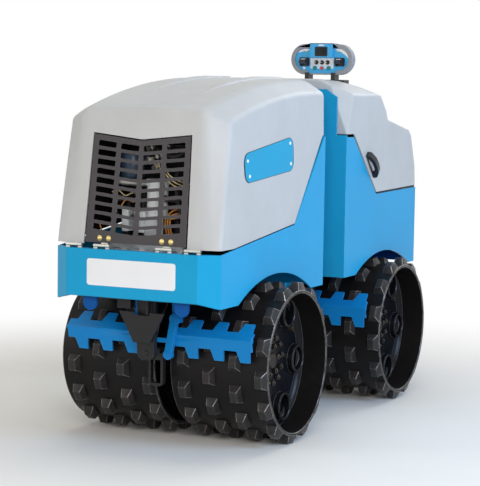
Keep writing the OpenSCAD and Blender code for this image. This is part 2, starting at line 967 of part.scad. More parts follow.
module front_side_right() { front_side(half_w - panel_t, half_w); }
module front_side_left() { front_side(-half_w, -half_w + panel_t); }

// Deck over the drums, up to the inside of the bumper, with the two lugs under it
module front_deck() {
    half = half_w - panel_t;
    color(body_blue) {
        block([-half, front_y + bumper_cut_y, deck_low_z], [half, front_end_y - bulkhead_t, deck_z]);
        block([-half_w + bumper_cut_x + panel_t, front_y + panel_t, deck_low_z],
            [half_w - bumper_cut_x - panel_t, front_y + bumper_cut_y, deck_z]);
        both_sides() {
            ycyl(hang_lug_half, hang_lug_y, hang_lug_y + hang_lug_t, hang_lug_x,
                hang_lug_z + hang_lug_half);
            block([hang_lug_x - hang_lug_half, hang_lug_y, hang_lug_z + hang_lug_half],
                [hang_lug_x + hang_lug_half, hang_lug_y + hang_lug_t, deck_low_z]);
        }
    }
}

// Rear wall of the front body with the two steering lugs and the cylinder's bracket
module front_bulkhead() {
    y0 = front_end_y - bulkhead_t;
    half = half_w - panel_t;
    color(body_blue) difference() {
        union() {
            yslab([
                [tail_left_x, tail_z], [tail_right_x, tail_z], [tail_right_x, front_low_z],
                [half, front_low_z], [half, shoulder_z - panel_cut],
                [bulkhead_head_half, shoulder_z - panel_cut], [bulkhead_head_half, bulkhead_head_z],
                [bulkhead_top_half, bulkhead_top_z], [-bulkhead_top_half, bulkhead_top_z],
                [-bulkhead_head_half, bulkhead_head_z], [-bulkhead_head_half, shoulder_z - panel_cut],
                [-half, shoulder_z - panel_cut], [-half, front_low_z], [tail_left_x, front_low_z]
            ], y0, front_end_y);
            for (z = [lug_low_z, lug_up_z]) {
                block([-lug_half_x, front_end_y, z], [lug_half_x, steer_y, z + lug_t]);
                zcyl(lug_half_x, z, z + lug_t, 0, steer_y);
            }
            for (z = [cyl_z - barrel_eye_half - slide_c - lug_t, cyl_z + barrel_eye_half + slide_c])
                cylinder_foot(z, lug_t);
        }
        zcyl(steer_pin_r + run_c, lug_low_z - over, lug_up_z + lug_t + over, 0, steer_y);
    }
}

module cylinder_foot(z, t) {
    foot_y = front_end_y + cyl_foot_out;
    difference() {
        union() {
            block([cyl_foot_x - barrel_eye_r, front_end_y, z], [cyl_foot_x + barrel_eye_r, foot_y, z + t]);
            zcyl(barrel_eye_r, z, z + t, cyl_foot_x, foot_y);
        }
        zcyl(foot_pin_r, z - over, z + t + over, cyl_foot_x, foot_y);
    }
}

// Lifting eye on top of the front bulkhead's rear face
module lifting_eye() {
    color(body_blue) difference() {
        union() {
            block([-eye_t / 2, front_end_y, eye_foot_z], [eye_t / 2, steer_y, eye_z]);
            xcyl(eye_half, -eye_t / 2, eye_t / 2, steer_y - eye_half + over, eye_z);
            block([-eye_gusset_half, front_end_y, eye_foot_z],
                [eye_gusset_half, front_end_y + panel_t, eye_z + eye_half]);
            block([-eye_t / 2, front_end_y, eye_z], [eye_t / 2, steer_y - eye_half, eye_z + eye_half]);
        }
        xcyl(eye_bore_r, -eye_t, eye_t, steer_y - eye_half + over, eye_z);
    }
}

// Steering

module steering_yoke() {
    color(steel_dark) difference() {
        union() {
            block([-yoke_half_x, steer_y - yoke_half_y, lug_low_z + lug_t + yoke_c],
                [yoke_half_x, steer_y + yoke_half_y, lug_up_z - yoke_c]);
            ycyl(roll_pin_r, steer_y + yoke_half_y, steer_y + yoke_half_y + journal_len, 0, roll_z);
            ycyl(journal_flange_r, rear_end_y + bearing_len + yoke_c,
                rear_end_y + bearing_len + yoke_c + journal_flange_t, 0, roll_z);
        }
        zcyl(steer_pin_r, lug_low_z - over, lug_up_z + lug_t + over, 0, steer_y);
    }
}

// Pin that turns with the yoke, and the arm that the cylinder pushes
module steering_pin() {
    arm_end = [
        steer_arm_len * cos(steer_arm_angle), steer_y + steer_arm_len * sin(steer_arm_angle)
    ];
    color("silver") {
        zcyl(steer_pin_r, steer_arm_z - over, lug_up_z + lug_t + lug_t / 2, 0, steer_y);
        zcyl(steer_arm_r + steer_arm_t / 2, steer_arm_z, steer_arm_z + steer_arm_t, 0, steer_y);
        zcyl(steer_arm_r, steer_arm_z, steer_arm_z + steer_arm_t, arm_end[0], arm_end[1]);
        translate([0, steer_y, steer_arm_z]) rotate([0, 0, steer_arm_angle])
            translate([steer_pin_r + over, -steer_arm_half, 0])
                cube([steer_arm_len - steer_pin_r - over, steer_arm_half * 2, steer_arm_t]);
        zcyl(arm_eye_r, cyl_z - rod_eye_half - over, steer_arm_z + over, arm_end[0], arm_end[1]);
    }
}

// Places its children at the cylinder's foot, with X along the cylinder
module on_cylinder() {
    translate([cyl_foot_x, front_end_y + cyl_foot_out, cyl_z]) rotate([0, 0, cyl_angle]) children();
}

module steering_barrel() {
    color(steel_dark) on_cylinder() {
        difference() {
            union() {
                zcyl(barrel_eye_r, -barrel_eye_half, barrel_eye_half, 0, 0);
                xcyl(barrel_r, barrel_eye_r + over, barrel_eye_r + barrel_len, 0, 0);
                xcyl(barrel_eye_half, 0, barrel_eye_r + over * 2, 0, 0);
            }
            xcyl(barrel_bore_r, barrel_eye_r + barrel_eye_half,
                barrel_eye_r + barrel_len - barrel_eye_half, 0, 0);
            xcyl(rod_r + run_c, barrel_eye_r + barrel_eye_half, barrel_eye_r + barrel_len + over, 0, 0);
        }
        zcyl(foot_pin_r - run_c, barrel_eye_half, barrel_eye_half + slide_c + lug_t, 0, 0);
        zcyl(foot_pin_r - run_c, -barrel_eye_half - slide_c - lug_t, -barrel_eye_half, 0, 0);
    }
}

module steering_rod() {
    piston_x = barrel_eye_r + barrel_len / 2 - piston_len / 2 + over;
    color("silver") on_cylinder() difference() {
        union() {
            xcyl(rod_r, piston_x, cyl_len - rod_eye_bore_r, 0, 0);
            xcyl(barrel_bore_r - run_c, piston_x, piston_x + piston_len, 0, 0);
            zcyl(rod_eye_r, -rod_eye_half, rod_eye_half, cyl_len, 0);
        }
        zcyl(rod_eye_bore_r, -rod_eye_half - over, rod_eye_half + over, cyl_len, 0);
    }
}

// Front hood

// Cuts away all that lies in front of a plane through [x, y, z]
module cut_front(x, y, z, yaw, lean, back) {
    translate([x, y, z]) rotate([0, 0, yaw]) rotate([-lean, 0, 0])
        translate([-big / 2, -big + back, -big / 2]) cube(big);
}

// Outer form of the front hood, made smaller by inset and longer below by open
module front_hood_form(inset, open) {
    half = half_w - inset;
    flat = hood_flat_x - inset / 2;
    r = crown_r - inset;
    foot = face_foot_z - open;
    difference() {
        intersection() {
            translate([0, crown_y, hood_top_z - crown_r]) rotate([0, 90, 0])
                rotate_extrude($fn = round_n * 6) polygon([
                    [0, -half], [r - hood_shoulder_h, -half], [r, -flat],
                    [r, flat], [r - hood_shoulder_h, half], [0, half]
                ]);
            yslab([
                [-half, foot - open], [half, foot - open], [half, hood_side_z],
                [half - hood_side_in, hood_top_z], [-half + hood_side_in, hood_top_z], [-half, hood_side_z]
            ], face_foot_y - over, hood_back_y + (inset > 0 ? over : 0));
            xslab([
                [front_y, bumper_top_z + hood_gap - open],
                [front_y + bumper_cut_y, bumper_top_z + hood_gap - open],
                [knee_y - hood_gap / 2, knee_z + hood_gap - open],
                [front_end_y - panel_cut - hood_gap, shoulder_z + hood_gap - open],
                [hood_back_y + over, shoulder_z + hood_gap - open], [hood_back_y + over, hood_top_z],
                [front_y, hood_top_z]
            ], -half, half);
        }
        cut_front(0, face_foot_y, face_foot_z, 0, hood_lean, inset);
        both_sides() cut_front(face_foot_half, face_foot_y, face_foot_z, corner_yaw, corner_lean, inset);
    }
}

// Raised rib on top of the hood: a wedge that fades out towards the grille
module hood_rib() {
    z0 = hood_top_z - crown_r + sqrt(crown_r * crown_r - (crown_y - rib_y0) * (crown_y - rib_y0));
    lift = atan2(rib_h, rib_y1 - rib_y0);
    intersection() {
        translate([0, rib_y0, z0]) rotate([lift, 0, 0])
            translate([0, crown_y - rib_y0, hood_top_z - crown_r - z0])
            rotate([0, 90, 0]) rotate_extrude($fn = round_n * 6) polygon([
                [crown_r - rib_h * 2, 0], [crown_r, 0], [crown_r, hood_flat_x - rib_half / 2],
                [crown_r - rib_h * 2, hood_flat_x]
            ]);
        zslab([
            [rib_x - over, rib_y0], [rib_x + over, rib_y0], [rib_x + rib_half, rib_y1 + rib_end],
            [rib_x - rib_half, rib_y1 + rib_end]
        ], bumper_top_z, hood_top_z + rib_h * 2);
        xslab([
            [rib_y0, z0 - rib_h], [rib_y1 + rib_end, hood_top_z - hood_t / 2],
            [rib_y1 + rib_end, hood_top_z - over],
            [rib_y1, hood_top_z + rib_h * 2], [rib_y0, z0 + rib_h]
        ], 0, half_w);
    }
}

module front_hood() {
    color(hood_grey) difference() {
        union() {
            difference() {
                front_hood_form(0, 0);
                front_hood_form(hood_t, hood_open);
            }
            both_sides() hood_rib();
        }
        yslab([
            [-opening_foot_half, face_foot_z - hood_open], [opening_foot_half, face_foot_z - hood_open],
            [opening_half, opening_top_z], [0, opening_top_z - grille_dip], [-opening_half, opening_top_z]
        ], front_y, face_foot_y + bumper_cut_x + bumper_cut_y);
    }
}

// Leaves and knuckles that carry the front hood on the hinge line
module front_hood_hinges() {
    color("silver") both_sides() difference() {
        union() {
            xcyl(hinge_r, hood_hinge_x - hinge_half / 2, hood_hinge_x + hinge_half / 2, hinge_y, hinge_z);
            block([hood_hinge_x - hinge_half / 2, hinge_y, hinge_z],
                [hood_hinge_x + hinge_half / 2, face_foot_y + bumper_lip, face_foot_z]);
        }
        xcyl(hinge_pin_r + run_c, hood_hinge_x - hinge_half, hood_hinge_x + hinge_half, hinge_y, hinge_z);
    }
}

// Pins and fixed leaves on the bumper, for the hood and for the grille
module front_hinge_pins() {
    color("silver") both_sides() {
        for (x = [hood_hinge_x, grille_hinge_x]) {
            xcyl(hinge_pin_r, x - hinge_half, x + hinge_half, hinge_y, hinge_z);
            for (s = [-1, 1]) {
                lo = x + s * (hinge_half * 3 / 4 + slide_c / 2) - hinge_half / 4 + slide_c / 2;
                xcyl(hinge_r, lo, lo + hinge_half / 2 - slide_c, hinge_y, hinge_z);
                block([lo, hinge_y - hinge_leaf_t, bumper_top_z],
                    [lo + hinge_half / 2 - slide_c, hinge_y + hinge_leaf_t, hinge_z]);
            }
        }
    }
}

// Grille

module slot_outline() {
    square([slot_w - slot_round * 2, slot_h], center = true);
    square([slot_w, slot_h - slot_round * 2], center = true);
    for (sx = [-1, 1], sy = [-1, 1])
        translate([sx * (slot_w / 2 - slot_round), sy * (slot_h / 2 - slot_round)])
            circle(slot_round, $fn = small_n);
}

// Places its children on the grille, with the foot edge on the X axis
module on_grille() {
    translate([0, face_foot_y + grille_set_back, grille_foot_z]) rotate([-hood_lean, 0, 0]) children();
}

module grille() {
    color(steel_dark) on_grille() rotate([90, 0, 0]) linear_extrude(grille_t) difference() {
        polygon([
            [-grille_foot_half, 0], [grille_foot_half, 0], [grille_top_half, grille_h],
            [0, grille_h - grille_dip], [-grille_top_half, grille_h]
        ]);
        for (c = [0 : grille_cols - 1], r = [0 : grille_rows - 1]) {
            col = c - (grille_cols - 1) / 2;
            x = col * col_pitch;
            translate([x, grille_h - row_top - r * row_pitch - grille_dip * (1 - abs(x) / grille_top_half)])
                rotate([0, 0, sign(col) * chevron]) slot_outline();
        }
    }
}

module grille_fittings() {
    color("#C9A227") on_grille() both_sides() for (s = [-1, 1])
        ycyl(grille_bolt_r, -grille_t - grille_bolt_h, -grille_t, grille_hinge_x + s * grille_bolt_dx,
            grille_bolt_z, small_n);
    color("silver") both_sides() difference() {
        union() {
            xcyl(hinge_r, grille_hinge_x - hinge_half / 2, grille_hinge_x + hinge_half / 2, hinge_y,
                hinge_z);
            block([grille_hinge_x - grille_leaf_half, hinge_y, hinge_z - hinge_leaf_t / 2],
                [grille_hinge_x + grille_leaf_half, face_foot_y + grille_set_back + hinge_leaf_t,
                hinge_z + hinge_leaf_t / 2]);
            on_grille() block([grille_hinge_x - grille_leaf_half + leaf_lap, 0,
                hinge_z + hinge_leaf_t / 2 - leaf_lap - grille_foot_z],
                [grille_hinge_x + grille_leaf_half - leaf_lap, hinge_leaf_t, grille_bolt_z * 2]);
        }
        xcyl(hinge_pin_r + run_c, grille_hinge_x - hinge_half, grille_hinge_x + hinge_half, hinge_y,
            hinge_z);
    }
}

// Engine bay

module engine() {
    y_mid = (engine_y0 + engine_y1) / 2;
    base_z = deck_z + mount_h;
    color("#6A6D70") {
        difference() {
            union() {
                block([-engine_x / 2, engine_y0, base_z], [engine_x / 2, engine_y1, engine_z1]);
                for (s = [-1, 1], y = [engine_y0, engine_y1 - mount_r * 2])
                    block([s * engine_x / 2 - foot_out, y, base_z],
                        [s * engine_x / 2 + foot_out, y + mount_r * 2, base_z + foot_t]);
                for (i = [0 : 4])
                    block([-engine_x / 2 - fin_out, engine_y0 + fin_gap, engine_z1 - fin_gap * (i * 2 + 2)],
                        [engine_x / 2 + fin_out, engine_y1 - fin_gap,
                        engine_z1 - fin_gap * (i * 2 + 2) + fin_t]);
                ycyl(fan_boss_r, engine_y0 - fan_boss_len, engine_y0, 0, fan_z);
            }
            ycyl(fan_shaft_r + run_c, engine_y0 - fan_boss_len - over, engine_y0 + fan_hub_t, 0, fan_z);
        }
        block([-head_x / 2, engine_y0 + head_inset, engine_z1],
            [head_x / 2, engine_y1 - head_inset, head_z1]);
        for (i = [0 : 2]) zcyl(fin_gap, head_z1, head_z1 + fin_gap, 0, y_mid + (i - 1) * fan_r / 2,
            small_n);
    }
}

module cooling_fan() {
    color("#1E1E1E") {
        ycyl(fan_shaft_r, fan_y - fan_hub_t / 2, engine_y0 + fan_hub_t - over, 0, fan_z);
        translate([0, fan_y, fan_z]) {
            ycyl(fan_hub_r, -fan_hub_t / 2, fan_hub_t / 2, 0, 0);
            for (i = [0 : fan_blades - 1]) rotate([0, i * 360 / fan_blades, 0])
                translate([0, 0, fan_hub_r - over]) rotate([0, 0, blade_pitch])
                    block([-blade_chord / 2, -blade_t / 2, 0],
                        [blade_chord / 2, blade_t / 2, fan_r - fan_hub_r]);
        }
    }
}

module radiator() {
    y1 = radiator_y0 + radiator_t;
    color("#2C2D2F") difference() {
        union() {
            block([-radiator_half, radiator_y0, deck_z], [radiator_half, y1, radiator_z1]);
            block([-radiator_half, y1, radiator_z0], [radiator_half, y1 + shroud_t, radiator_z1]);
            ycyl(fan_r + shroud_t * 3, y1, y1 + shroud_len, 0, fan_z);
        }
        ycyl(fan_r + shroud_t * 2, y1, y1 + shroud_len + over, 0, fan_z);
        for (i = [0 : core_fins - 1])
            block([-radiator_half + core_edge, radiator_y0 - over,
                radiator_z0 + core_fin_h + i * core_pitch],
                [radiator_half - core_edge, radiator_y0 + core_d,
                    radiator_z0 + core_fin_h + core_slot_h + i * core_pitch]);
    }
}

module air_filter() {
    color("#2A2A2C") {
        ycyl(filter_r, engine_y0 + head_inset, engine_y0 + head_inset + filter_len, filter_x, filter_z);
        ycyl(filter_r + shroud_t, engine_y0 + head_inset - shroud_t * 3, engine_y0 + head_inset, filter_x,
            filter_z);
        block([head_x / 2, engine_y0 + head_inset + filter_r, filter_z - pipe_r],
            [filter_x - filter_r + pipe_r, engine_y0 + head_inset + filter_r * 2, filter_z - over]);
    }
}

module exhaust_silencer() {
    color("#7B6F62") {
        ycyl(silencer_r, engine_y0 + head_inset, engine_y0 + head_inset + silencer_len, silencer_x,
            silencer_z);
        block([silencer_x + silencer_r - pipe_r, engine_y0 + head_inset + silencer_r,
            silencer_z - pipe_r * 2],
            [-head_x / 2, engine_y0 + head_inset + silencer_r * 2, silencer_z - pipe_r]);
        ycyl(pipe_r, engine_y0 + head_inset + silencer_len, engine_y1 + pipe_r * 2, silencer_x, silencer_z);
    }
}

module valve_block() {
    color("#8C8F92") translate([0, valve_at_y, deck_z]) {
        block([-valve_x / 2, -valve_y / 2, 0], [valve_x / 2, valve_y / 2, valve_z]);
        for (i = [0 : spool_count - 1]) {
            x = (i - (spool_count - 1) / 2) * valve_x / spool_count;
            ycyl(spool_r, -valve_y / 2 - spool_len, -valve_y / 2, x, valve_z / 2, small_n);
        }
        block([canister_x - canister_r, -valve_y / 2 + spool_r, valve_z],
            [canister_x + canister_r, valve_y / 2 - spool_r, canister_z - deck_z]);
    }
}

module filter_canister() {
    color("#E8E8E8") {
        zcyl(canister_r, canister_z, canister_z + canister_h, canister_x, valve_at_y);
        zcyl(canister_r + shroud_t, canister_z + canister_h, canister_z + canister_h + canister_cap_h,
            canister_x, valve_at_y);
    }
}

module hydraulic_pump() {
    color("#5E6266") {
        ycyl(pump_flange_r, engine_y1, engine_y1 + pump_flange_t, 0, pump_z);
        ycyl(pump_r, engine_y1 + pump_flange_t, engine_y1 + pump_flange_t + pump_len, 0, pump_z);
        block([-pump_r / 2, engine_y1 + pump_flange_t + over, pump_z + pump_r / 2],
            [pump_r / 2, engine_y1 + pump_len, pump_z + pump_r + pump_flange_t]);
    }
}

// Hoses that rise from the valve block, bend back and end on the radiator
module hydraulic_hoses() {
    back_y = valve_at_y + spool_r * 2 + hose_bend_r;
    color("#1A1A1A") for (i = [0 : hose_count - 1]) {
        x = hose_first_x + i * hose_gap - (i == 2 ? hose_gap / 2 : 0) + (i > 2 ? hose_gap * 3 / 2 : 0);
        reach = hose_up / 2 + i * hose_r * 2;
        z = deck_z + valve_z + reach;
        zcyl(hose_r, deck_z + valve_z, z, x, back_y - hose_bend_r, small_n);
        translate([x, back_y, z]) rotate([0, 90, 0]) rotate([0, 0, 180])
            rotate_extrude(angle = 90, $fn = round_n) translate([hose_bend_r, 0])
                circle(hose_r, $fn = small_n);
        ycyl(hose_r, back_y, radiator_y0, x, z + hose_bend_r, small_n);
    }
}

// Rear body

module rear_side(x0, x1) {
    color(body_blue) difference() {
        xslab([
            [rear_end_y + bulkhead_t, rear_low_z], [rear_y, rear_low_z], [rear_y, rear_panel_top_z + rear_end_rise],
            [rear_knee_y, rear_panel_top_z + rear_knee_rise], [rear_slope_y, shoulder_z - panel_t],
            [rear_end_y + bulkhead_t, shoulder_z - panel_t]
        ], x0, x1);
        arch(rear_axle_y, x0, x1);
    }
}

module rear_side_right() { rear_side(half_w - panel_t, half_w); }
module rear_side_left() { rear_side(-half_w, -half_w + panel_t); }

module rear_deck() {
    half = half_w - panel_t;
    color(body_blue) {
        block([-half, rear_end_y + bulkhead_t, deck_low_z], [half, rear_y - panel_t, deck_z]);
        block([-half, rear_y - panel_t, rear_low_z], [half, rear_y, rear_panel_top_z]);
    }
}

// Front wall of the rear body with the bearing for the roll journal
module rear_bulkhead() {
    color(body_blue) difference() {
        union() {
            yslab([
                [-bearing_r, roll_z - bearing_r], [bearing_r, roll_z - bearing_r], [bearing_r, rear_low_z],
                [half_w, rear_low_z], [half_w, shoulder_z], [neck_half, shoulder_z], [neck_half, neck_z],
                [neck_top_half, neck_top_z], [-neck_top_half, neck_top_z], [-neck_half, neck_z],
                [-neck_half, shoulder_z], [-half_w, shoulder_z], [-half_w, rear_low_z],
                [-bearing_r, rear_low_z]
            ], rear_end_y, rear_end_y + bulkhead_t);
            ycyl(bearing_r, rear_end_y + bulkhead_t, rear_end_y + bearing_len, 0, roll_z);
        }
        ycyl(roll_pin_r + run_c, rear_end_y - over, rear_end_y + bearing_len + over, 0, roll_z);
    }
}

// Outer form of the rear hood, made smaller by inset and longer below by open
module rear_hood_form(inset, open) {
    half = half_w - inset;
    y0 = rear_front_y;
    difference() {
        intersection() {
            xslab([
                [y0 + inset, shoulder_z + rear_hood_gap - open],
                [rear_slope_y + rear_hood_gap, shoulder_z + rear_hood_gap - open],
                [rear_knee_y + rear_hood_gap, rear_panel_top_z + rear_hood_gap * 3 - open],
                [rear_foot_y - inset, rear_foot_z - open], [rear_foot_y - inset, rear_foot_z + over],
                [rear_back_y - inset, rear_back_z], [rear_corner_y - inset, rear_corner_z - inset / 2],
                [rear_tail_y - inset / 2, rear_tail_z - inset],
                [rear_step_y - inset / 2, rear_step_z - inset],
                [rear_ledge_y - inset, rear_ledge_z - inset / 2],
                [rear_brow_y - inset, rear_brow_z - inset / 2],
                [rear_brow_y - rear_cut / 2 - inset / 2, rear_brow_z + rear_cut / 2 - inset],
                [rear_mid_y, rear_top_z - rear_sag - inset], [y0 + inset, rear_top_z - inset]
            ], -half, half);
            yslab([
                [-half, rear_panel_top_z - open], [half, rear_panel_top_z - open],
                [half, rear_crease_z - inset / 2], [rear_flat_x, rear_top_z - inset],
                [-rear_flat_x, rear_top_z - inset], [-half, rear_crease_z - inset / 2]
            ], y0, rear_y);
            zslab([
                [-half + rear_cut, y0 + inset / 2], [half - rear_cut, y0 + inset / 2],
                [half, y0 + rear_cut + inset / 2],
                [half, rear_y], [-half, rear_y], [-half, y0 + rear_cut + inset / 2]
            ], rear_panel_top_z - open, rear_top_z);
        }
    }
}

module rear_hood() {
    color(hood_grey) difference() {
        rear_hood_form(0, 0);
        rear_hood_form(hood_t, hood_open);
    }
}

// Pull handle on each side, a bar with a finger gap behind it, and the hood's knuckles
module rear_handles() {
    color("#202124") both_sides() translate([half_w, grip_y, grip_z]) rotate([grip_lean, 0, 0]) {
        block([grip_out - grip_t, -grip_w / 2, -grip_len / 2], [grip_out, grip_w / 2, grip_len / 2]);
        for (s = [-1, 1])
            block([0, -grip_w / 2, s * (grip_len / 2 - grip_t / 2) - grip_t / 2],
                [grip_out - grip_t, grip_w / 2, s * (grip_len / 2 - grip_t / 2) + grip_t / 2]);
    }
    color("silver") both_sides() difference() {
        union() {
            xcyl(hinge_r, rear_hinge_x - hinge_half / 2, rear_hinge_x + hinge_half / 2, rear_hinge_y,
                rear_hinge_z);
            block([rear_hinge_x - hinge_half / 2, rear_hinge_y, rear_hinge_z],
                [rear_hinge_x + hinge_half / 2, rear_foot_y, rear_foot_z - run_c * 4]);
        }
        xcyl(hinge_pin_r + run_c, rear_hinge_x - hinge_half, rear_hinge_x + hinge_half, rear_hinge_y,
            rear_hinge_z);
    }
}

module rear_hinge_pins() {
    color("silver") both_sides() {
        xcyl(hinge_pin_r, rear_hinge_x - hinge_half, rear_hinge_x + hinge_half, rear_hinge_y, rear_hinge_z);
        for (s = [-1, 1]) {
            lo = rear_hinge_x + s * (hinge_half * 3 / 4 + slide_c / 2) - hinge_half / 4 + slide_c / 2;
            xcyl(hinge_r, lo, lo + hinge_half / 2 - slide_c, rear_hinge_y, rear_hinge_z);
            block([lo, rear_hinge_y, rear_panel_top_z],
                [lo + hinge_half / 2 - slide_c, rear_hinge_y + hinge_r, rear_hinge_z]);
        }
    }
}

module fuel_tank() {
    color("#2B2C2E") {
        block([-fuel_half_x, fuel_y0, deck_z], [fuel_half_x, fuel_y1, fuel_z1]);
        zcyl(cap_r, fuel_z1, fuel_z1 + cap_h, 0, (fuel_y0 + fuel_y1) / 2);
    }
}

module oil_tank() {
    color("#3A3C3F") {
        block([-oil_half_x, oil_y0, deck_z], [oil_half_x, oil_y1, oil_z1]);
        zcyl(cap_r, oil_z1, oil_z1 + cap_h, oil_half_x / 2, (oil_y0 + oil_y1) / 2);
    }
}

module battery() {
    color("#1D1D20") {
        block([-battery_half_x, battery_y0, deck_z], [battery_half_x, battery_y1, battery_z1]);
        both_sides() zcyl(post_r, battery_z1, battery_z1 + post_h, post_x, (battery_y0 + battery_y1) / 2,
            small_n);
    }
}

// Hand control

// Stadium outline: a bar with round ends, about the middle of the face
module stadium(w, h) {
    square([w - h, h], center = true);
    for (s = [-1, 1]) translate([s * (w - h) / 2, 0]) circle(h / 2, $fn = round_n);
}

// Places its children at the hand control's middle, with Y pointing up its face and Z towards the operator
module on_remote() {
    translate([remote_x, remote_y, remote_z]) rotate([90, 0, 0]) children();
}

module remote_body() {
    inner_w = remote_w - rim_t * 2;
    inner_h = remote_h - rim_t * 2;
    front = remote_d / 2 - face_in;
    color("#5BB8EA") on_remote() {
        difference() {
            union() {
                translate([0, 0, -remote_d / 2]) linear_extrude(remote_d / 2 + front) {
                    stadium(inner_w, inner_h);
                    translate([-chin_half, -chin_low]) square([chin_half * 2, chin_low]);
                    translate([-screen_w / 2, 0]) square([screen_w, screen_foot + screen_h]);
                }
                translate([0, 0, -remote_d / 2 - remote_back]) linear_extrude(remote_back)
                    stadium(inner_w - rim_t, inner_h);
                translate([-screen_w / 2, screen_foot, front]) cube([screen_w, screen_h, screen_out]);
                for (s = [-1, 1], e = [-1, 1])
                    translate([s * stick_x + e * (stick_half + ear_t / 2 + slide_c) - ear_t / 2,
                        stick_z - ear_half, front])
                        cube([ear_t, ear_half * 2, ear_out]);
                for (i = [-1 : 1]) translate([i * toggle_gap, toggle_z, front])
                    cylinder(r = bush_r, h = bush_h, $fn = small_n);
                for (s = [-1, 1]) translate([s * button_gap, button_z, front])
                    cylinder(r = button_r + bezel_t, h = bezel_h, $fn = small_n);
                translate([0, button_z, front]) cylinder(r = stop_r + bezel_t, h = bezel_h, $fn = small_n);
            }
            for (i = [-1 : 1]) translate([i * toggle_gap, toggle_z, front - bush_bore_r])
                cylinder(r = bush_bore_r, h = bush_h + bush_bore_r + over, $fn = small_n);
            for (s = [-1, 1]) translate([s * button_gap, button_z, front - button_out])
                cylinder(r = button_r + slide_c, h = button_out * 3, $fn = small_n);
            translate([0, button_z, front - button_out])
                cylinder(r = stop_r + slide_c, h = button_out * 3, $fn = small_n);
            translate([-glass_w / 2, screen_foot + glass_up, front + screen_out - over])
                cube([glass_w, glass_h, over * 2]);
            for (s = [-1, 1]) translate([s * stick_x, stick_z, front + ear_out - stick_w / 3])
                rotate([0, 90, 0])
                cylinder(r = stick_pin_r + run_c, h = stick_half * 4, center = true, $fn = small_n);
            for (s = [-1, 1]) translate([s * stick_x - stick_half - slide_c, stick_z - ear_half,
                front - stick_w / 3])
                cube([stick_half * 2 + slide_c * 2, ear_half * 2, stick_w / 3 + over * 3]);
        }
    }
}

module remote_rim() {
    bow_top = screen_foot + screen_h + bow_t;
    color("#8E9196") on_remote() translate([0, 0, -remote_d / 2]) linear_extrude(remote_d) difference() {
        union() {
            stadium(remote_w, remote_h);
            translate([-screen_w / 2 - bow_t, 0]) square([screen_w + bow_t * 2, bow_top]);
        }
        stadium(remote_w - rim_t * 2, remote_h - rim_t * 2);
        translate([-screen_w / 2, 0]) square([screen_w, bow_top - bow_t]);
        translate([-chin_half, -chin_low]) square([chin_half * 2, chin_low]);
    }
}

// Paddle on a cross pin between two ears
module joystick(s) {
    front = remote_d / 2 - face_in;
    color("#16171A") on_remote() translate([s * stick_x, stick_z, front + ear_out - stick_w / 3]) {
        rotate([0, 90, 0]) cylinder(r = stick_w / 2 - slide_c * 2, h = stick_half * 2, center = true,
            $fn = round_n);
        rotate([0, 90, 0]) cylinder(r = stick_pin_r, h = (stick_half + ear_t) * 2, center = true,
            $fn = small_n);
        translate([-stick_half + slide_c, -stick_w / 4, 0])
            cube([stick_half * 2 - slide_c * 2, stick_w / 2, stick_len]);
    }
}

module joystick_left() { joystick(-1); }
module joystick_right() { joystick(1); }

module toggle(i) {
    front = remote_d / 2 - face_in;
    color("silver") on_remote() translate([i * toggle_gap, toggle_z, front]) {
        sphere(toggle_ball_r, $fn = small_n);
        cylinder(r = toggle_r, h = toggle_len, $fn = small_n);
    }
}

module toggle_left() { toggle(-1); }
module toggle_centre() { toggle(0); }
module toggle_right() { toggle(1); }

module button(x, r, shade) {
    front = remote_d / 2 - face_in;
    color(shade) on_remote() translate([x, button_z, front - press_d])
        cylinder(r = r, h = press_d + button_out, $fn = small_n);
}

module button_left() { button(-button_gap, button_r, "#17876F"); }
module button_right() { button(button_gap, button_r, "#17876F"); }
module button_stop() { button(0, stop_r, "#D0311F"); }

// Height of the rear hood's top behind its highest part
function rear_top(y) = rear_top_z - rear_sag
    - (y - rear_mid_y) * (rear_top_z - rear_sag - rear_brow_z - rear_cut / 2)
        / (rear_brow_y - rear_cut / 2 - rear_mid_y);

// Plate on the rear hood with two posts that hold the hand control
module remote_cradle() {
    y0 = max(remote_y - cradle_d / 2, rear_mid_y);
    y1 = remote_y + cradle_d / 2;
    color("#26272A") translate([remote_x, 0, 0]) {
        xslab([[y0, rear_top(y0)], [y1, rear_top(y1)], [y1, cradle_plate_z], [y0, cradle_plate_z]],
            cradle_x0, cradle_x2);
        for (x = [cradle_x0, cradle_x1]) difference() {
            block([x, remote_y - remote_d / 2 - cradle_wall, cradle_plate_z],
                [x + cradle_post_w, remote_y + remote_d / 2 + cradle_wall, remote_foot_z + cradle_lip]);
            block([x - over, remote_y - remote_d / 2 - slide_c, remote_foot_z],
                [x + cradle_post_w + over, remote_y + remote_d / 2 + slide_c,
                remote_foot_z + cradle_lip + over]);
        }
    }
}

front_bumper();
front_side_right();
front_side_left();
front_deck();
front_bulkhead();
front_leg();
tow_loop();
front_buffers();
front_travel_motors();
front_scrapers();
engine();
radiator();
air_filter();
exhaust_silencer();
valve_block();
filter_canister();
hydraulic_pump();
hydraulic_hoses();
lifting_eye();
front_hinge_pins();
front_hood();
front_hood_hinges();
grille();
grille_fittings();
drum_front_right();
drum_front_left();
drum_rear_right();
drum_rear_left();
cooling_fan();
front_exciter_shaft();
rear_exciter_shaft();
steering_yoke();
steering_pin();
steering_barrel();
steering_rod();
rear_side_right();
rear_side_left();
rear_deck();
rear_bulkhead();
rear_leg();
rear_buffers();
rear_travel_motors();
rear_scrapers();
fuel_tank();
oil_tank();
battery();
rear_hinge_pins();
rear_hood();
rear_handles();
remote_cradle();
remote_body();
remote_rim();
joystick_left();
joystick_right();
toggle_left();
toggle_centre();
toggle_right();
button_left();
button_right();
button_stop();
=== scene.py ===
import json
import math

import bmesh
import bpy
import numpy as np
from mathutils import Matrix, Vector

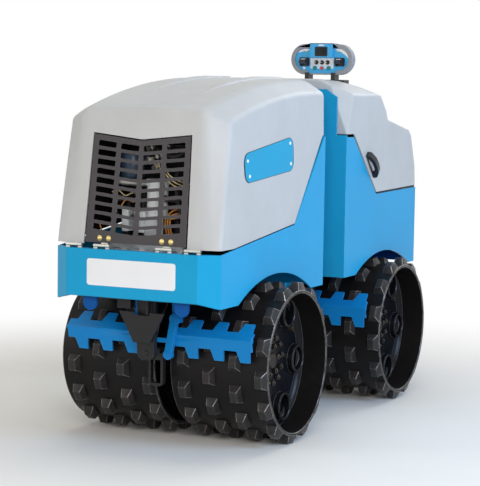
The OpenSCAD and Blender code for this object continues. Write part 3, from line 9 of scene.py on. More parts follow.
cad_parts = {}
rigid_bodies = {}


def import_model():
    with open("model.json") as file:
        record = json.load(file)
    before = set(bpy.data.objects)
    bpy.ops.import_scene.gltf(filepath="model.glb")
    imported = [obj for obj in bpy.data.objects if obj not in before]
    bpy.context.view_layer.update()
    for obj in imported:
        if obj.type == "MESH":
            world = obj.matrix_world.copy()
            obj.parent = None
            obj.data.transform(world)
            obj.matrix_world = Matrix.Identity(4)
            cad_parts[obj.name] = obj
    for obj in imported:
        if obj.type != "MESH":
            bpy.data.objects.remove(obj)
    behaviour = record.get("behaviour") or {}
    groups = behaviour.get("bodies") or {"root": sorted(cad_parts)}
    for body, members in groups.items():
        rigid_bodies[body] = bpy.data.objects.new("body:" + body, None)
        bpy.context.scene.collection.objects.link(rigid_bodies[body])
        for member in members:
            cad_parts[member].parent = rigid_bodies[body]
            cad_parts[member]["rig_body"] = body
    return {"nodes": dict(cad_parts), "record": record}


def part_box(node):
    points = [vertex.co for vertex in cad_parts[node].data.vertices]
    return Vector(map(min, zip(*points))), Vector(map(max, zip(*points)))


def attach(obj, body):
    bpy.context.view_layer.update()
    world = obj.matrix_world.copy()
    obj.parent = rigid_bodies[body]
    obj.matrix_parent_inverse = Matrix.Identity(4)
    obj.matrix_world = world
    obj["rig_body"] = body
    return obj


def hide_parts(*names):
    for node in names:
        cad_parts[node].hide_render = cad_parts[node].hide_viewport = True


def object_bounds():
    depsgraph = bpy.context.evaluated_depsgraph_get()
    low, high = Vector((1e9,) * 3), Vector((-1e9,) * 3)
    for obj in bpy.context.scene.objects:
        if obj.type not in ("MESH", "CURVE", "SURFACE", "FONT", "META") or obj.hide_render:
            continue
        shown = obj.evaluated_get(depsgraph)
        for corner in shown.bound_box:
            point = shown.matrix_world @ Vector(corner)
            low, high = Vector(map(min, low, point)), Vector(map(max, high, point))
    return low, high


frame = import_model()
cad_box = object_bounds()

# Camera
CAMERA_AT = Vector((3.0170, -6.3705, 1.3348))
CAMERA_YAW = math.radians(25.71)
CAMERA_PITCH = math.radians(-5.28)
CAMERA_ROLL = math.radians(0.94)
CAMERA_LENS = 130.66
CAMERA_SENSOR = 36

# Floor: how far it reaches, how far below the drums it lies, and where it has turned white
floor_half = 60
floor_drop = 0.0005
floor_white_r = 3.2

# Driving dimensions in metres, read from the frame
bumper_low, bumper_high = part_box("front_bumper")
front_y = bumper_low.y
rear_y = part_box("rear_deck")[1].y
half_w = bumper_high.x
bumper_top = bumper_high.z
front_end_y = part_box("front_side_right")[1].y
rear_end_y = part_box("rear_bulkhead")[0].y
shoulder_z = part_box("front_side_right")[1].z
hood_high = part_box("front_hood")[1]
rear_hood_low, rear_hood_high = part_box("rear_hood")
grille_low, grille_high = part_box("grille")
drum_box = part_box("drum_front_right")
axle_z = (drum_box[0].z + drum_box[1].z) / 2
front_axle_y = (drum_box[0].y + drum_box[1].y) / 2
rear_axle_y = (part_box("drum_rear_right")[0].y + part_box("drum_rear_right")[1].y) / 2
drum_in_x = drum_box[0].x
drum_out_x = drum_box[1].x

# Front hood: a crowned top, sides that lean in, a leaning face and cut corners
hood_back_y = hood_high.y
hood_round = 0.012
hood_t = 0.006
hood_drop = 0.113
hood_flat = 0.236
hood_shoulder = 0.058
hood_side_in = 0.011
hood_side_z = 0.800
hood_lean = math.radians(7)
corner_yaw = math.radians(32)
corner_turn = math.radians(17)
corner_turn_h = 0.42
face_foot_y = front_y + 0.026
face_foot_z = bumper_top + 0.015
face_foot_half = 0.261
crown_y = hood_back_y - 0.070
crown_run = crown_y - (face_foot_y + 0.057)
crown_r = (crown_run ** 2 + hood_drop ** 2) / (2 * hood_drop)
knee_y = front_end_y - 0.280
knee_z = bumper_top + 0.066
hood_gap = 0.005
grille_gap = 0.005
grille_dip = 0.021
opening_half = 0.198
opening_foot_half = 0.2085
opening_top = grille_high.z + grille_gap
rib_x = 0.112
rib_half = 0.032
rib_h = 0.010
rib_rise = 0.008
rib_ramp = 2.4
rib_tip = 0.003
rib_flank = 0.008
hood_top = hood_high.z - rib_h
rib_start_y = hood_back_y - 0.670
rib_full_y = hood_back_y - 0.090
# Its lower edge from the side, as (y, z): foot, knee, neck and on to the back
front_edge = [
    (front_y + 0.050, bumper_top + hood_gap), (knee_y - hood_gap / 2, knee_z + hood_gap),
    (front_end_y - 0.015, shoulder_z + hood_gap), (hood_back_y + 1, shoulder_z + hood_gap)
]
# Centre of its rays, and the box whose sides they go through
front_rays = ((0, -0.50, 0.95), (-0.40, -1.10, 0.60), (0.40, 0.30, 1.50))

# Rear hood, seen from the side as (y, z)
rear_front_y = rear_hood_low.y
rear_top = rear_hood_high.z
rear_flat = 0.205
rear_crease_z = 1.283
rear_round = 0.008
rear_corner_yaw = math.radians(38)
rear_corner_lean = math.radians(13.3)
rear_corner_in = 0.003
rear_slope = (rear_end_y + 0.080, shoulder_z + 0.004)
rear_knee = (rear_end_y + 0.340, 0.878)
rear_foot = (rear_y - 0.002, 0.887)
rear_edge = [(rear_slope[0] - 1, rear_slope[1]), rear_slope, rear_knee, rear_foot]
rear_profile = [
    (rear_front_y, 0.60), (rear_front_y, rear_top), (0.3705, rear_top - 0.008), (0.455, 1.3185),
    (0.538, 1.2875),
    (rear_end_y + 0.386, 1.266), (rear_end_y + 0.436, 1.219), (rear_end_y + 0.460, 1.179),
    (rear_end_y + 0.713, 1.132), (rear_end_y + 0.745, 1.108), (rear_end_y + 0.799, 0.973),
    rear_foot, (rear_y - 0.001, 0.60)
]
rear_rays = ((0, 0.585, 1.0), (-0.40, 0.10, 0.70), (0.40, 1.10, 1.50))
# Seal on the rear side plates: inner and outer x, how far it stands up, its start and end as (y, z, depth)
seal_x = (half_w - 0.019, half_w - 0.003)
seal_up = 0.001
seal_ends = ((rear_knee[0] + 0.010, rear_knee[1], 0.006), (rear_foot[0] - 0.004, rear_foot[1], 0.0095))


# Mesh helpers

sides_by_name = (("right", 1), ("left", -1))


def body_of(node):
    """The body that a CAD node belongs to."""
    return frame["nodes"][node]["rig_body"]


def circle(r, count, phase=0.0):
    """Points of a circle, counted from a phase in degrees."""
    angles = [math.radians(phase + 360 * k / count) for k in range(count)]
    return [(r * math.cos(a), r * math.sin(a)) for a in angles]


def axes_at(origin, x, y, z):
    """A matrix that takes the axes of space to three others at a point."""
    return Matrix.Translation(origin) @ Matrix((x, y, z)).transposed().to_4x4()


def linked(name, data):
    """A new object in the scene."""
    made = bpy.data.objects.new(name, data)
    bpy.context.scene.collection.objects.link(made)
    return made


def to_mesh(bm, name):
    """Turns a bmesh into a mesh and frees it."""
    mesh = bpy.data.meshes.new(name)
    bm.to_mesh(mesh)
    bm.free()
    return mesh


def smoothed(mesh, angle):
    """Shades a mesh smooth, apart from edges sharper than an angle in degrees."""
    for polygon in mesh.polygons:
        polygon.use_smooth = True
    mesh.set_sharp_from_angle(angle=math.radians(angle))


def settle(name, mesh, material, body, smooth=40, replaces=()):
    """Turns a mesh into a piece of the object."""
    mesh.update()
    smoothed(mesh, smooth)
    mesh.materials.clear()
    mesh.materials.append(mats[material])
    piece = linked(name, mesh)
    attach(piece, body)
    if replaces:
        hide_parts(*replaces)
    return piece


def piece_from(bm, name, material, body, smooth=40, replaces=()):
    """Turns a bmesh into a piece of the object."""
    bmesh.ops.recalc_face_normals(bm, faces=bm.faces)
    return settle(name, to_mesh(bm, name), material, body, smooth, replaces)


def applied(piece):
    """Replaces a piece's mesh by what its modifiers make of it."""
    depsgraph = bpy.context.evaluated_depsgraph_get()
    mesh = bpy.data.meshes.new_from_object(piece.evaluated_get(depsgraph))
    piece.modifiers.clear()
    piece.data = mesh
    return piece


def bevelled(piece, width, segments=2, angle=30, smooth=40):
    """Rounds the edges that are sharper than an angle, and keeps flat faces flat."""
    bevel = piece.modifiers.new("edge", "BEVEL")
    bevel.width = width
    bevel.segments = segments
    bevel.limit_method = "ANGLE"
    bevel.angle_limit = math.radians(angle)
    bevel.use_clamp_overlap = True
    smoothed(applied(piece).data, smooth)
    weighted = piece.modifiers.new("flat", "WEIGHTED_NORMAL")
    weighted.keep_sharp = True
    return applied(piece)


def cleaned(bm, gap):
    """Joins verts that lie together, and triangles that lie in one plane."""
    bmesh.ops.remove_doubles(bm, verts=bm.verts, dist=gap)
    bmesh.ops.dissolve_limit(bm, angle_limit=math.radians(0.4), verts=bm.verts, edges=bm.edges)
    return bm


def node_mesh(node):
    """A clean mesh of a CAD node."""
    bm = bmesh.new()
    bm.from_mesh(frame["nodes"][node].data)
    return cleaned(bm, 2e-6)


def dress(node, ending, material, bevel, segments=2, angle=30, smooth=40):
    """Stands for a CAD node with the same form and rounded edges."""
    name = f"{node}_{ending}"
    piece = piece_from(node_mesh(node), name, material, body_of(node), smooth, [node])
    return bevelled(piece, bevel, segments, angle, smooth)


def united(nodes):
    """One mesh of several CAD nodes, joined without seams."""
    holders = [linked("temporary", to_mesh(node_mesh(node), node)) for node in nodes]
    for other in holders[1:]:
        join = holders[0].modifiers.new("join", "BOOLEAN")
        join.operation = "UNION"
        join.object = other
        join.solver = "EXACT"
    bm = bmesh.new()
    bm.from_mesh(applied(holders[0]).data)
    for holder in holders:
        bpy.data.objects.remove(holder)
    return cleaned(bm, 1e-5)


def add_box(bm, low, high):
    """A box between two corners."""
    low, high = Vector(low), Vector(high)
    made = bmesh.ops.create_cube(bm, size=1)["verts"]
    bmesh.ops.scale(bm, vec=high - low, verts=made)
    bmesh.ops.translate(bm, vec=(low + high) / 2, verts=made)


def add_lathe(bm, profile, origin, segments, axis=(1, 0, 0), closed=False):
    """Turns a profile of (radius, distance along the axis) round an axis through origin."""
    axis = Vector(axis).normalized()
    side = axis.orthogonal().normalized()
    place = axes_at(origin, side, axis.cross(side), axis)
    rings = []
    for r, h in profile:
        count = segments if r > 1e-7 else 1
        ring = [bm.verts.new(place @ Vector((*point, h))) for point in circle(r, count)]
        rings.append(ring * (segments // count))
    for a, b in list(zip(rings, rings[1:])) + ([(rings[-1], rings[0])] if closed else []):
        for k in range(segments):
            m = (k + 1) % segments
            corners = list(dict.fromkeys([a[k], a[m], b[m], b[k]]))
            if len(corners) > 2:
                bm.faces.new(corners)


def loft(bm, outlines):
    """A solid through outlines that have the same number of points."""
    rings = [[bm.verts.new(p) for p in outline] for outline in outlines]
    for a, b in zip(rings, rings[1:]):
        for k in range(len(a)):
            bm.faces.new([a[k - 1], a[k], b[k], b[k - 1]])
    bm.faces.new(list(reversed(rings[0])))
    bm.faces.new(rings[-1])


def add_prism(bm, outline, low, high, matrix):
    """Extrudes an outline in its XY plane from low to high along Z, then places it."""
    loft(bm, [[matrix @ Vector((x, y, z)) for x, y in outline] for z in (low, high)])


def round_rect(w, h, r, steps=6, cx=0.0, cy=0.0):
    """Outline of a rectangle with round corners, about (cx, cy)."""
    points = []
    for sx, sy, start in ((1, 1, 0), (-1, 1, 90), (-1, -1, 180), (1, -1, 270)):
        for k in range(steps + 1):
            a = math.radians(start + 90 * k / steps)
            points.append((cx + sx * (w / 2 - r) + r * math.cos(a), cy + sy * (h / 2 - r) + r * math.sin(a)))
    return points


def add_tube(bm, points, radius, sides=8):
    """A round tube along points, with its rings kept from twisting."""
    up = (points[1] - points[0]).orthogonal().normalized()
    outlines = []
    for k, p in enumerate(points):
        ahead = (points[min(k + 1, len(points) - 1)] - points[max(k - 1, 0)]).normalized()
        up = (up - ahead * up.dot(ahead)).normalized()
        across = ahead.cross(up)
        outlines.append([p + u * up + v * across for u, v in circle(radius, sides)])
    loft(bm, outlines)


def curve_points(knots, steps=6):
    """A smooth line through knots."""
    knots = [Vector(k) for k in knots]
    ends = [knots[0] * 2 - knots[1]] + knots + [knots[-1] * 2 - knots[-2]]
    out = []
    for a, b, c, d in zip(ends, ends[1:], ends[2:], ends[3:]):
        for k in range(steps):
            t = k / steps
            out.append(0.5 * (2 * b + (c - a) * t + (2 * a - 5 * b + 4 * c - d) * t * t
                              + (3 * b - a - 3 * c + d) * t ** 3))
    return out + [knots[-1]]


# Moulded shells: a form given by its distance, reached by rays from inside

def round_all(distances, r):
    """The part inside all the distances, with its edges rounded."""
    d = np.stack(distances)
    u = np.maximum(d + r, 0)
    return np.minimum(d.max(0), -r) + np.sqrt((u ** 2).sum(0))


def ray_shell(form, centre, low, high, sides, step):
    """Verts and faces of the form, seen from its centre through the named sides of a box."""
    centre, low, high = (np.array(v, float) for v in (centre, low, high))
    verts, faces, base = [], [], 0
    for axis, end in sides:
        others = [k for k in range(3) if k != axis]
        counts = [max(int(round((high[k] - low[k]) / step)), 2) for k in others]
        spans = [np.linspace(low[k], high[k], n + 1) for k, n in zip(others, counts)]
        u, v = np.meshgrid(*spans, indexing="ij")
        points = np.empty(u.shape + (3,))
        points[..., others[0]] = u
        points[..., others[1]] = v
        points[..., axis] = high[axis] if end > 0 else low[axis]
        ray = points.reshape(-1, 3) - centre
        near, far = np.zeros(len(ray)), np.full(len(ray), 1.6)
        for _ in range(34):
            middle = (near + far) / 2
            inside = form(centre + ray * middle[:, None]) < 0
            near = np.where(inside, middle, near)
            far = np.where(inside, far, middle)
        verts.append(centre + ray * near[:, None])
        rows, cols = counts[0] + 1, counts[1] + 1
        k = np.arange(rows * cols).reshape(rows, cols) + base
        quads = np.stack([k[:-1, :-1], k[1:, :-1], k[1:, 1:], k[:-1, 1:]], -1).reshape(-1, 4)
        flip = (end > 0) != (axis == 1)
        faces.append(quads if flip else quads[:, ::-1])
        base += rows * cols
    return np.concatenate(verts), np.concatenate(faces)


def line_plane(y0, z0, y1, z1):
    """A plane along X through two points of the side view."""
    return (Vector((0, y0, z0)), Vector((0, z1 - z0, y0 - y1)).normalized())


def edge_planes(edge):
    """The planes of a hood's lower edge, from its points in the side view."""
    return [line_plane(*a, *b) for a, b in zip(edge, edge[1:])]


def edge_z(edge, y):
    """Height of a hood's lower edge."""
    ys, zs = zip(*edge)
    return np.interp(y, ys, zs)


def hood_shell(node, shell, planes, gone):
    """A hood with a dark lining: cut along planes, then without the faces whose middle is gone."""
    verts, faces = shell
    bm = bmesh.new()
    made = [bm.verts.new(v) for v in verts]
    for f in faces:
        bm.faces.new([made[k] for k in f])
    bmesh.ops.remove_doubles(bm, verts=bm.verts, dist=1e-5)
    for point, normal in planes:
        everything = list(bm.verts) + list(bm.edges) + list(bm.faces)
        bmesh.ops.bisect_plane(bm, geom=everything, dist=1e-6, plane_co=point, plane_no=normal)
    away = [f for f in bm.faces if gone(f.calc_center_median())]
    bmesh.ops.delete(bm, geom=away, context="FACES")
    name = f"{node}_shell"
    piece = settle(name, to_mesh(bm, name), "hood", node, replaces=[node])
    piece.data.materials.append(mats["lining"])
    wall = piece.modifiers.new("wall", "SOLIDIFY")
    wall.thickness = hood_t
    wall.offset = -1
    wall.use_rim = True
    wall.material_offset = 1
    smoothed(applied(piece).data, 40)


def corner_cut(x, y, z, at, yaw, lean):
    """Distance to the plane that cuts a hood's front corner through a point."""
    ahead = (x - at[0]) * np.sin(yaw) - (y - at[1]) * np.cos(yaw)
    return ahead * math.cos(lean) + (z - at[2]) * math.sin(lean)


def front_hood_form(p):
    """Distance to the front hood's outside, negative inside."""
    x, y, z = np.abs(p[:, 0]), p[:, 1], p[:, 2]
    under = crown_r ** 2 - (y - crown_y) ** 2
    crown = hood_top - crown_r + np.sqrt(np.maximum(under, 0))
    slope = math.atan2(hood_shoulder, half_w - hood_flat)
    # A rib rises from nothing to its full height, in a wedge that widens backwards
    along = np.clip((y - rib_start_y) / (rib_full_y - rib_start_y), 0, 1)
    wide = rib_tip + (rib_half - rib_tip) * along
    off = (np.abs(x - rib_x) - wide) / rib_flank
    rise = rib_rise * np.clip(along * rib_ramp, 0, 1) * np.clip(0.5 - off, 0, 1)
    tilt = math.atan2(hood_side_in, hood_top - hood_side_z)
    side = np.maximum(x - half_w, (x - half_w) * math.cos(tilt) + (z - hood_side_z) * math.sin(tilt))
    top = (z - crown - rise) * np.sqrt(np.maximum(under, 1e-6)) / crown_r
    shoulder = (z - crown) * math.cos(slope) + (x - hood_flat) * math.sin(slope)
    foot = (face_foot_half, face_foot_y, face_foot_z)
    face = corner_cut(x, y, z, foot, 0, hood_lean)
    yaw = corner_yaw - corner_turn * np.clip(1 - (z - face_foot_z) / corner_turn_h, 0, 1)
    corner = corner_cut(x, y, z, foot, yaw, hood_lean)
    return round_all([side, top, shoulder, face, corner], hood_round)


def front_hood():
    """The front hood, open at its foot, its back and the grille."""
    slope = (opening_foot_half - opening_half) / (opening_top - face_foot_z)
    dip = grille_dip / opening_half
    planes = [
        (Vector((0, 0, face_foot_z)), Vector((0, 0, 1))), *edge_planes(front_edge),
        (Vector((0, hood_back_y, 0)), Vector((0, 1, 0)))
    ]
    planes += [(Vector((side * opening_half, 0, opening_top)), Vector((side, 0, slope)).normalized())
               for side in (1, -1)]
    planes += [(Vector((0, 0, opening_top - grille_dip)), Vector((side * dip, 0, 1)).normalized())
               for side in (-1, 1)]

    def gone(c):
        in_width = abs(c.x) < opening_half + (opening_top - c.z) * slope
        in_opening = in_width and c.z < opening_top - grille_dip + abs(c.x) * dip and c.y < front_y + 0.2
        return c.y > hood_back_y or c.z < max(face_foot_z, edge_z(front_edge, c.y)) or in_opening

    shell = ray_shell(front_hood_form, *front_rays, ((0, 1), (0, -1), (2, 1), (1, -1)), hood_step)
    hood_shell("front_hood", shell, planes, gone)


def polygon_distance(points, y, z):
    """Signed distance to a closed outline, negative inside."""
    best = np.full(y.shape, 1e9)
    inside = np.zeros(y.shape, bool)
    for (ay, az), (by, bz) in zip(points, points[1:] + points[:1]):
        ey, ez = by - ay, bz - az
        t = np.clip(((y - ay) * ey + (z - az) * ez) / (ey * ey + ez * ez), 0, 1)
        best = np.minimum(best, np.hypot(y - ay - t * ey, z - az - t * ez))
        cross = ((az > z) != (bz > z)) & (y < (by - ay) * (z - az) / (bz - az + 1e-12) + ay)
        inside ^= cross
    return np.where(inside, -best, best)


def inset_outline(points, r):
    """The outline with every side moved in by r. The points run clockwise, seen with y right and z up."""
    lines = []
    for (ay, az), (by, bz) in zip(points, points[1:] + points[:1]):
        n = Vector((bz - az, ay - by)).normalized()
        lines.append((Vector((ay, az)) + n * r, Vector((by - ay, bz - az)).normalized()))
    out = []
    for (p, d), (q, e) in zip(lines[-1:] + lines[:-1], lines):
        cross = d.x * e.y - d.y * e.x
        t = ((q - p).x * e.y - (q - p).y * e.x) / cross
        out.append(tuple(p + d * t))
    return out


rear_inner_profile = inset_outline(rear_profile, rear_round)


def rear_hood_form(p):
    """Distance to the rear hood's outside, negative inside."""
    x, y, z = np.abs(p[:, 0]), p[:, 1], p[:, 2]
    side_view = polygon_distance(rear_inner_profile, y, z) - rear_round
    slope = math.atan2(rear_top - rear_crease_z, half_w - rear_flat)
    crease = (x - rear_flat) * math.sin(slope) + (z - rear_top) * math.cos(slope)
    # The front corner is cut wide at the top and narrow below
    at = (half_w - rear_corner_in, rear_front_y, shoulder_z)
    corner = corner_cut(x, y, z, at, rear_corner_yaw, rear_corner_lean)
    return np.maximum(round_all([side_view, x - half_w, crease], rear_round), corner)


def rear_hood():
    """The rear hood, and the seals that it rests on."""
    shell = ray_shell(rear_hood_form, *rear_rays, ((0, 1), (0, -1), (2, 1), (1, -1), (1, 1)), hood_step)
    hood_shell("rear_hood", shell, edge_planes(rear_edge), lambda c: c.z < edge_z(rear_edge, c.y))
    bm = bmesh.new()
    for side in (-1, 1):
        inner, outer = (side * x for x in seal_x)
        loft(bm, [[(inner, y, z - drop), (outer, y, z - drop), (outer, y, z + seal_up),
                   (inner, y, z + seal_up)] for y, z, drop in seal_ends])
    bevelled(piece_from(bm, "rear_hood_seal", "rubber", "rear_frame"), 0.001)


# Materials

class Tree:
    """The nodes of a material or a world, built one call at a time."""

    def __init__(self, name, kind="materials"):
        self.owner = getattr(bpy.data, kind).new(name)
        self.owner.use_nodes = True
        self.nodes = self.owner.node_tree.nodes
        self.links = self.owner.node_tree.links
        self.shader = self.nodes["Principled BSDF" if kind == "materials" else "Background"]
        self.place = self.add("ShaderNodeTexCoord").outputs["Object"]

    def add(self, kind, **values):
        node = self.nodes.new(kind)
        for key, value in values.items():
            if hasattr(node, key):
                setattr(node, key, value)
            else:
                node.inputs[key.replace("_", " ")].default_value = value
        return node

    def link(self, out, into):
        self.links.new(out, into)

    def put(self, value, socket):
        """Links an output to a socket, or sets the socket to a number or a colour."""
        if isinstance(value, bpy.types.NodeSocket):
            self.link(value, socket)
        elif isinstance(value, (int, float)):
            socket.default_value = value
        else:
            socket.default_value = (*value, 1)

    def noise(self, scale, detail=4.0, roughness=0.55, stretch=None):
        place = self.place
        if stretch:
            mapping = self.add("ShaderNodeMapping", Scale=stretch)
            self.link(self.place, mapping.inputs["Vector"])
            place = mapping.outputs["Vector"]
        node = self.add("ShaderNodeTexNoise", Scale=scale, Detail=detail, Roughness=roughness)
        self.link(place, node.inputs["Vector"])
        return node.outputs["Fac"]

    def ramp(self, value, low, high, start=0.0, end=1.0, smooth=False):
        """Leads a value from start at low to end at high."""
        node = self.add("ShaderNodeValToRGB")
        if smooth:
            node.color_ramp.interpolation = "EASE"
        for element, at, grey in zip(node.color_ramp.elements, (low, high), (start, end)):
            element.position = at
            element.color = (grey, grey, grey, 1)
        self.link(value, node.inputs["Fac"])
        return node.outputs["Color"]

    def patches(self, low, high, *noise):
        """Noise that runs from 0 at low to 1 at high."""
        return self.ramp(self.noise(*noise), low, high)

    def mix(self, factor, a, b):
        node = self.add("ShaderNodeMix", data_type="RGBA")
        for value, socket in ((factor, node.inputs["Factor"]), (a, node.inputs[6]), (b, node.inputs[7])):
            self.put(value, socket)
        return node.outputs[2]

    def math(self, operation, a, b=0.0, clamp=False):
        node = self.add("ShaderNodeMath", operation=operation, use_clamp=clamp)
        self.put(a, node.inputs[0])
        self.put(b, node.inputs[1])
        return node.outputs[0]

    def edges(self, radius, low=0.02, high=0.16):
        """A mask that is bright near sharp outer edges."""
        bevel = self.add("ShaderNodeBevel", samples=6, Radius=radius)
        flat = self.add("ShaderNodeNewGeometry").outputs["Normal"]
        dot = self.add("ShaderNodeVectorMath", operation="DOT_PRODUCT")
        self.link(bevel.outputs["Normal"], dot.inputs[0])
        self.link(flat, dot.inputs[1])
        away = self.math("SUBTRACT", 1.0, dot.outputs["Value"], clamp=True)
        return self.ramp(away, low, high)

    def bump(self, value, distance, strength=1.0, under=None):
        node = self.add("ShaderNodeBump", Strength=strength, Distance=distance)
        self.link(value, node.inputs["Height"])
        if under is not None:
            self.link(under, node.inputs["Normal"])
        return node.outputs["Normal"]

    def finish(self, colour=None, roughness=None, normal=None, metallic=None, **fixed):
        """Sets the shader's sockets: the varied ones from outputs or values, the fixed ones by name."""
        for value, name in ((colour, "Base Color"), (roughness, "Roughness"), (normal, "Normal"),
                            (metallic, "Metallic")):
            if value is not None:
                self.put(value, self.shader.inputs[name])
        for key, value in fixed.items():
            self.shader.inputs[key.replace("_", " ")].default_value = value
        return self.owner

    def seen_directly(self):
        """1 for rays that show the background: from the camera, off metal and through glass."""
        path = self.add("ShaderNodeLightPath")
        seen = path.outputs["Is Camera Ray"]
        for ray in ("Is Glossy Ray", "Is Transmission Ray"):
            seen = self.math("MAXIMUM", seen, path.outputs[ray])
        return seen

    def cover(self, factor, shader):
        """Mixes another shader over the main one, on its way to the output."""
        end = self.shader.outputs[0].links[0].to_socket
        mix = self.add("ShaderNodeMixShader")
        for out, into in ((factor, mix.inputs[0]), (self.shader.outputs[0], mix.inputs[1]),
                          (shader.outputs[0], mix.inputs[2]), (mix.outputs[0], end)):
            self.link(out, into)
        return self.owner


def shade(colour, factor):
    """A colour made lighter or darker."""
    return tuple(min(c * factor, 1) for c in colour)


def painted(name, colour, rough=0.3, coat=0.3, wear_and_glint=0.0, peel=0.00002, shine=0.28):
    """Gloss paint with orange peel, faint clouding and, where asked, bright edges: worn paint, and on the rear
    sheet a painted glint.
    """
    t = Tree(name)
    body = t.mix(t.patches(0.3, 0.7, 3.0, 3), shade(colour, 0.96), shade(colour, 1.03))
    speck = t.patches(0.70, 0.76, 260.0, 2)
    body = t.mix(t.math("MULTIPLY", speck, 0.06), body, shade(colour, 0.72))
    if wear_and_glint:
        # Bright edges in patches: worn paint, and on the rear sheet a painted glint
        worn = t.math("MULTIPLY", t.edges(0.0025), t.patches(0.45, 0.62, 60.0))
        body = t.mix(t.math("MULTIPLY", worn, wear_and_glint), body, (0.55, 0.62, 0.66))
    dull = t.ramp(t.noise(6.0, 4), 0.3, 0.75, rough * 0.92, rough * 1.10)
    normal = t.bump(t.noise(160.0, 1), peel, 0.5)
    return t.finish(body, dull, normal, Coat_Weight=coat, Coat_Roughness=0.12, Specular_IOR_Level=shine)


def moulded(name, colour, rough=0.5, grain=900.0, depth=0.00008):
    """Moulded plastic or gel coat: clouded colour, a fine grain and rubbed patches."""
    t = Tree(name)
    body = t.mix(t.patches(0.28, 0.72, 5.0, 5), shade(colour, 0.94), shade(colour, 1.03))
    streak = t.patches(0.52, 0.78, 9.0, 6, 0.6, (1.0, 1.0, 0.25))
    body = t.mix(t.math("MULTIPLY", streak, 0.30), body, shade(colour, 0.88))
    dull = t.ramp(t.noise(22.0, 5), 0.3, 0.75, rough * 0.88, min(rough * 1.15, 1.0))
    normal = t.bump(t.noise(grain, 2), depth, 0.6)
    return t.finish(body, dull, normal, Specular_IOR_Level=0.45)


def cast(name, colour, bright=(0.34, 0.32, 0.30), rough=0.42, wear_and_glint=0.8, edge=0.004, depth=0.0004):
    """Painted casting: pitted skin, rust-brown clouds and edges worn to metal, which on the pads are also a
    painted glint.
    """
    t = Tree(name)
    cloud = t.patches(0.38, 0.72, 7.0, 6)
    brown = (colour[0] * 1.6, colour[1] * 1.35, colour[2] * 1.2)
    body = t.mix(t.math("MULTIPLY", cloud, 0.6), colour, brown)
    rub = t.patches(0.30, 0.56, 28.0, 6, 0.65)
    # Edges worn to metal in patches; on the pads they are also a painted glint
    worn = t.math("MULTIPLY", t.math("MULTIPLY", t.edges(edge, 0.008, 0.09), rub), wear_and_glint, clamp=True)
    body = t.mix(worn, body, bright)
    dull = t.ramp(t.noise(35.0, 5), 0.3, 0.75, rough * 0.8, rough * 1.35)
    coarse = t.bump(t.noise(70.0, 5, 0.6), depth)
    fine = t.bump(t.noise(420.0, 3), depth * 0.5, 1.0, coarse)
    return t.finish(body, dull, fine, t.math("MULTIPLY", worn, 0.85), Specular_IOR_Level=0.15)


def metal(name, colour, rough=0.3, brushed=(1.0, 1.0, 1.0), grain=260.0):
    """Bare metal with fine brushing and dulled patches."""
    t = Tree(name)
    body = t.mix(t.patches(0.35, 0.7, 18.0, 5), shade(colour, 0.82), colour)
    lines = t.noise(grain, 3, 0.6, brushed)
    dull = t.ramp(lines, 0.25, 0.8, rough * 0.7, rough * 1.5)
    return t.finish(body, dull, t.bump(lines, 0.00005, 0.5), Metallic=1.0)


def rubbery(name, colour=(0.018, 0.018, 0.019)):
    """Black rubber with a grey bloom."""
    t = Tree(name)
    bloom = t.patches(0.42, 0.8, 26.0, 5)
    body = t.mix(t.math("MULTIPLY", bloom, 0.5), colour, shade(colour, 2.6))
    return t.finish(body, 0.62, t.bump(t.noise(300.0, 3), 0.00012), Specular_IOR_Level=0.35)


def glassy(name, colour=(0.012, 0.014, 0.016)):
    """Dark display glass with faint smears."""
    t = Tree(name)
    smear = t.ramp(t.noise(60.0, 4, 0.5, (1.0, 1.0, 3.0)), 0.4, 0.8, 0.04, 0.14)
    body = t.mix(t.patches(0.4, 0.7, 30.0), colour, shade(colour, 1.8))
    return t.finish(body, smear, Specular_IOR_Level=0.2)


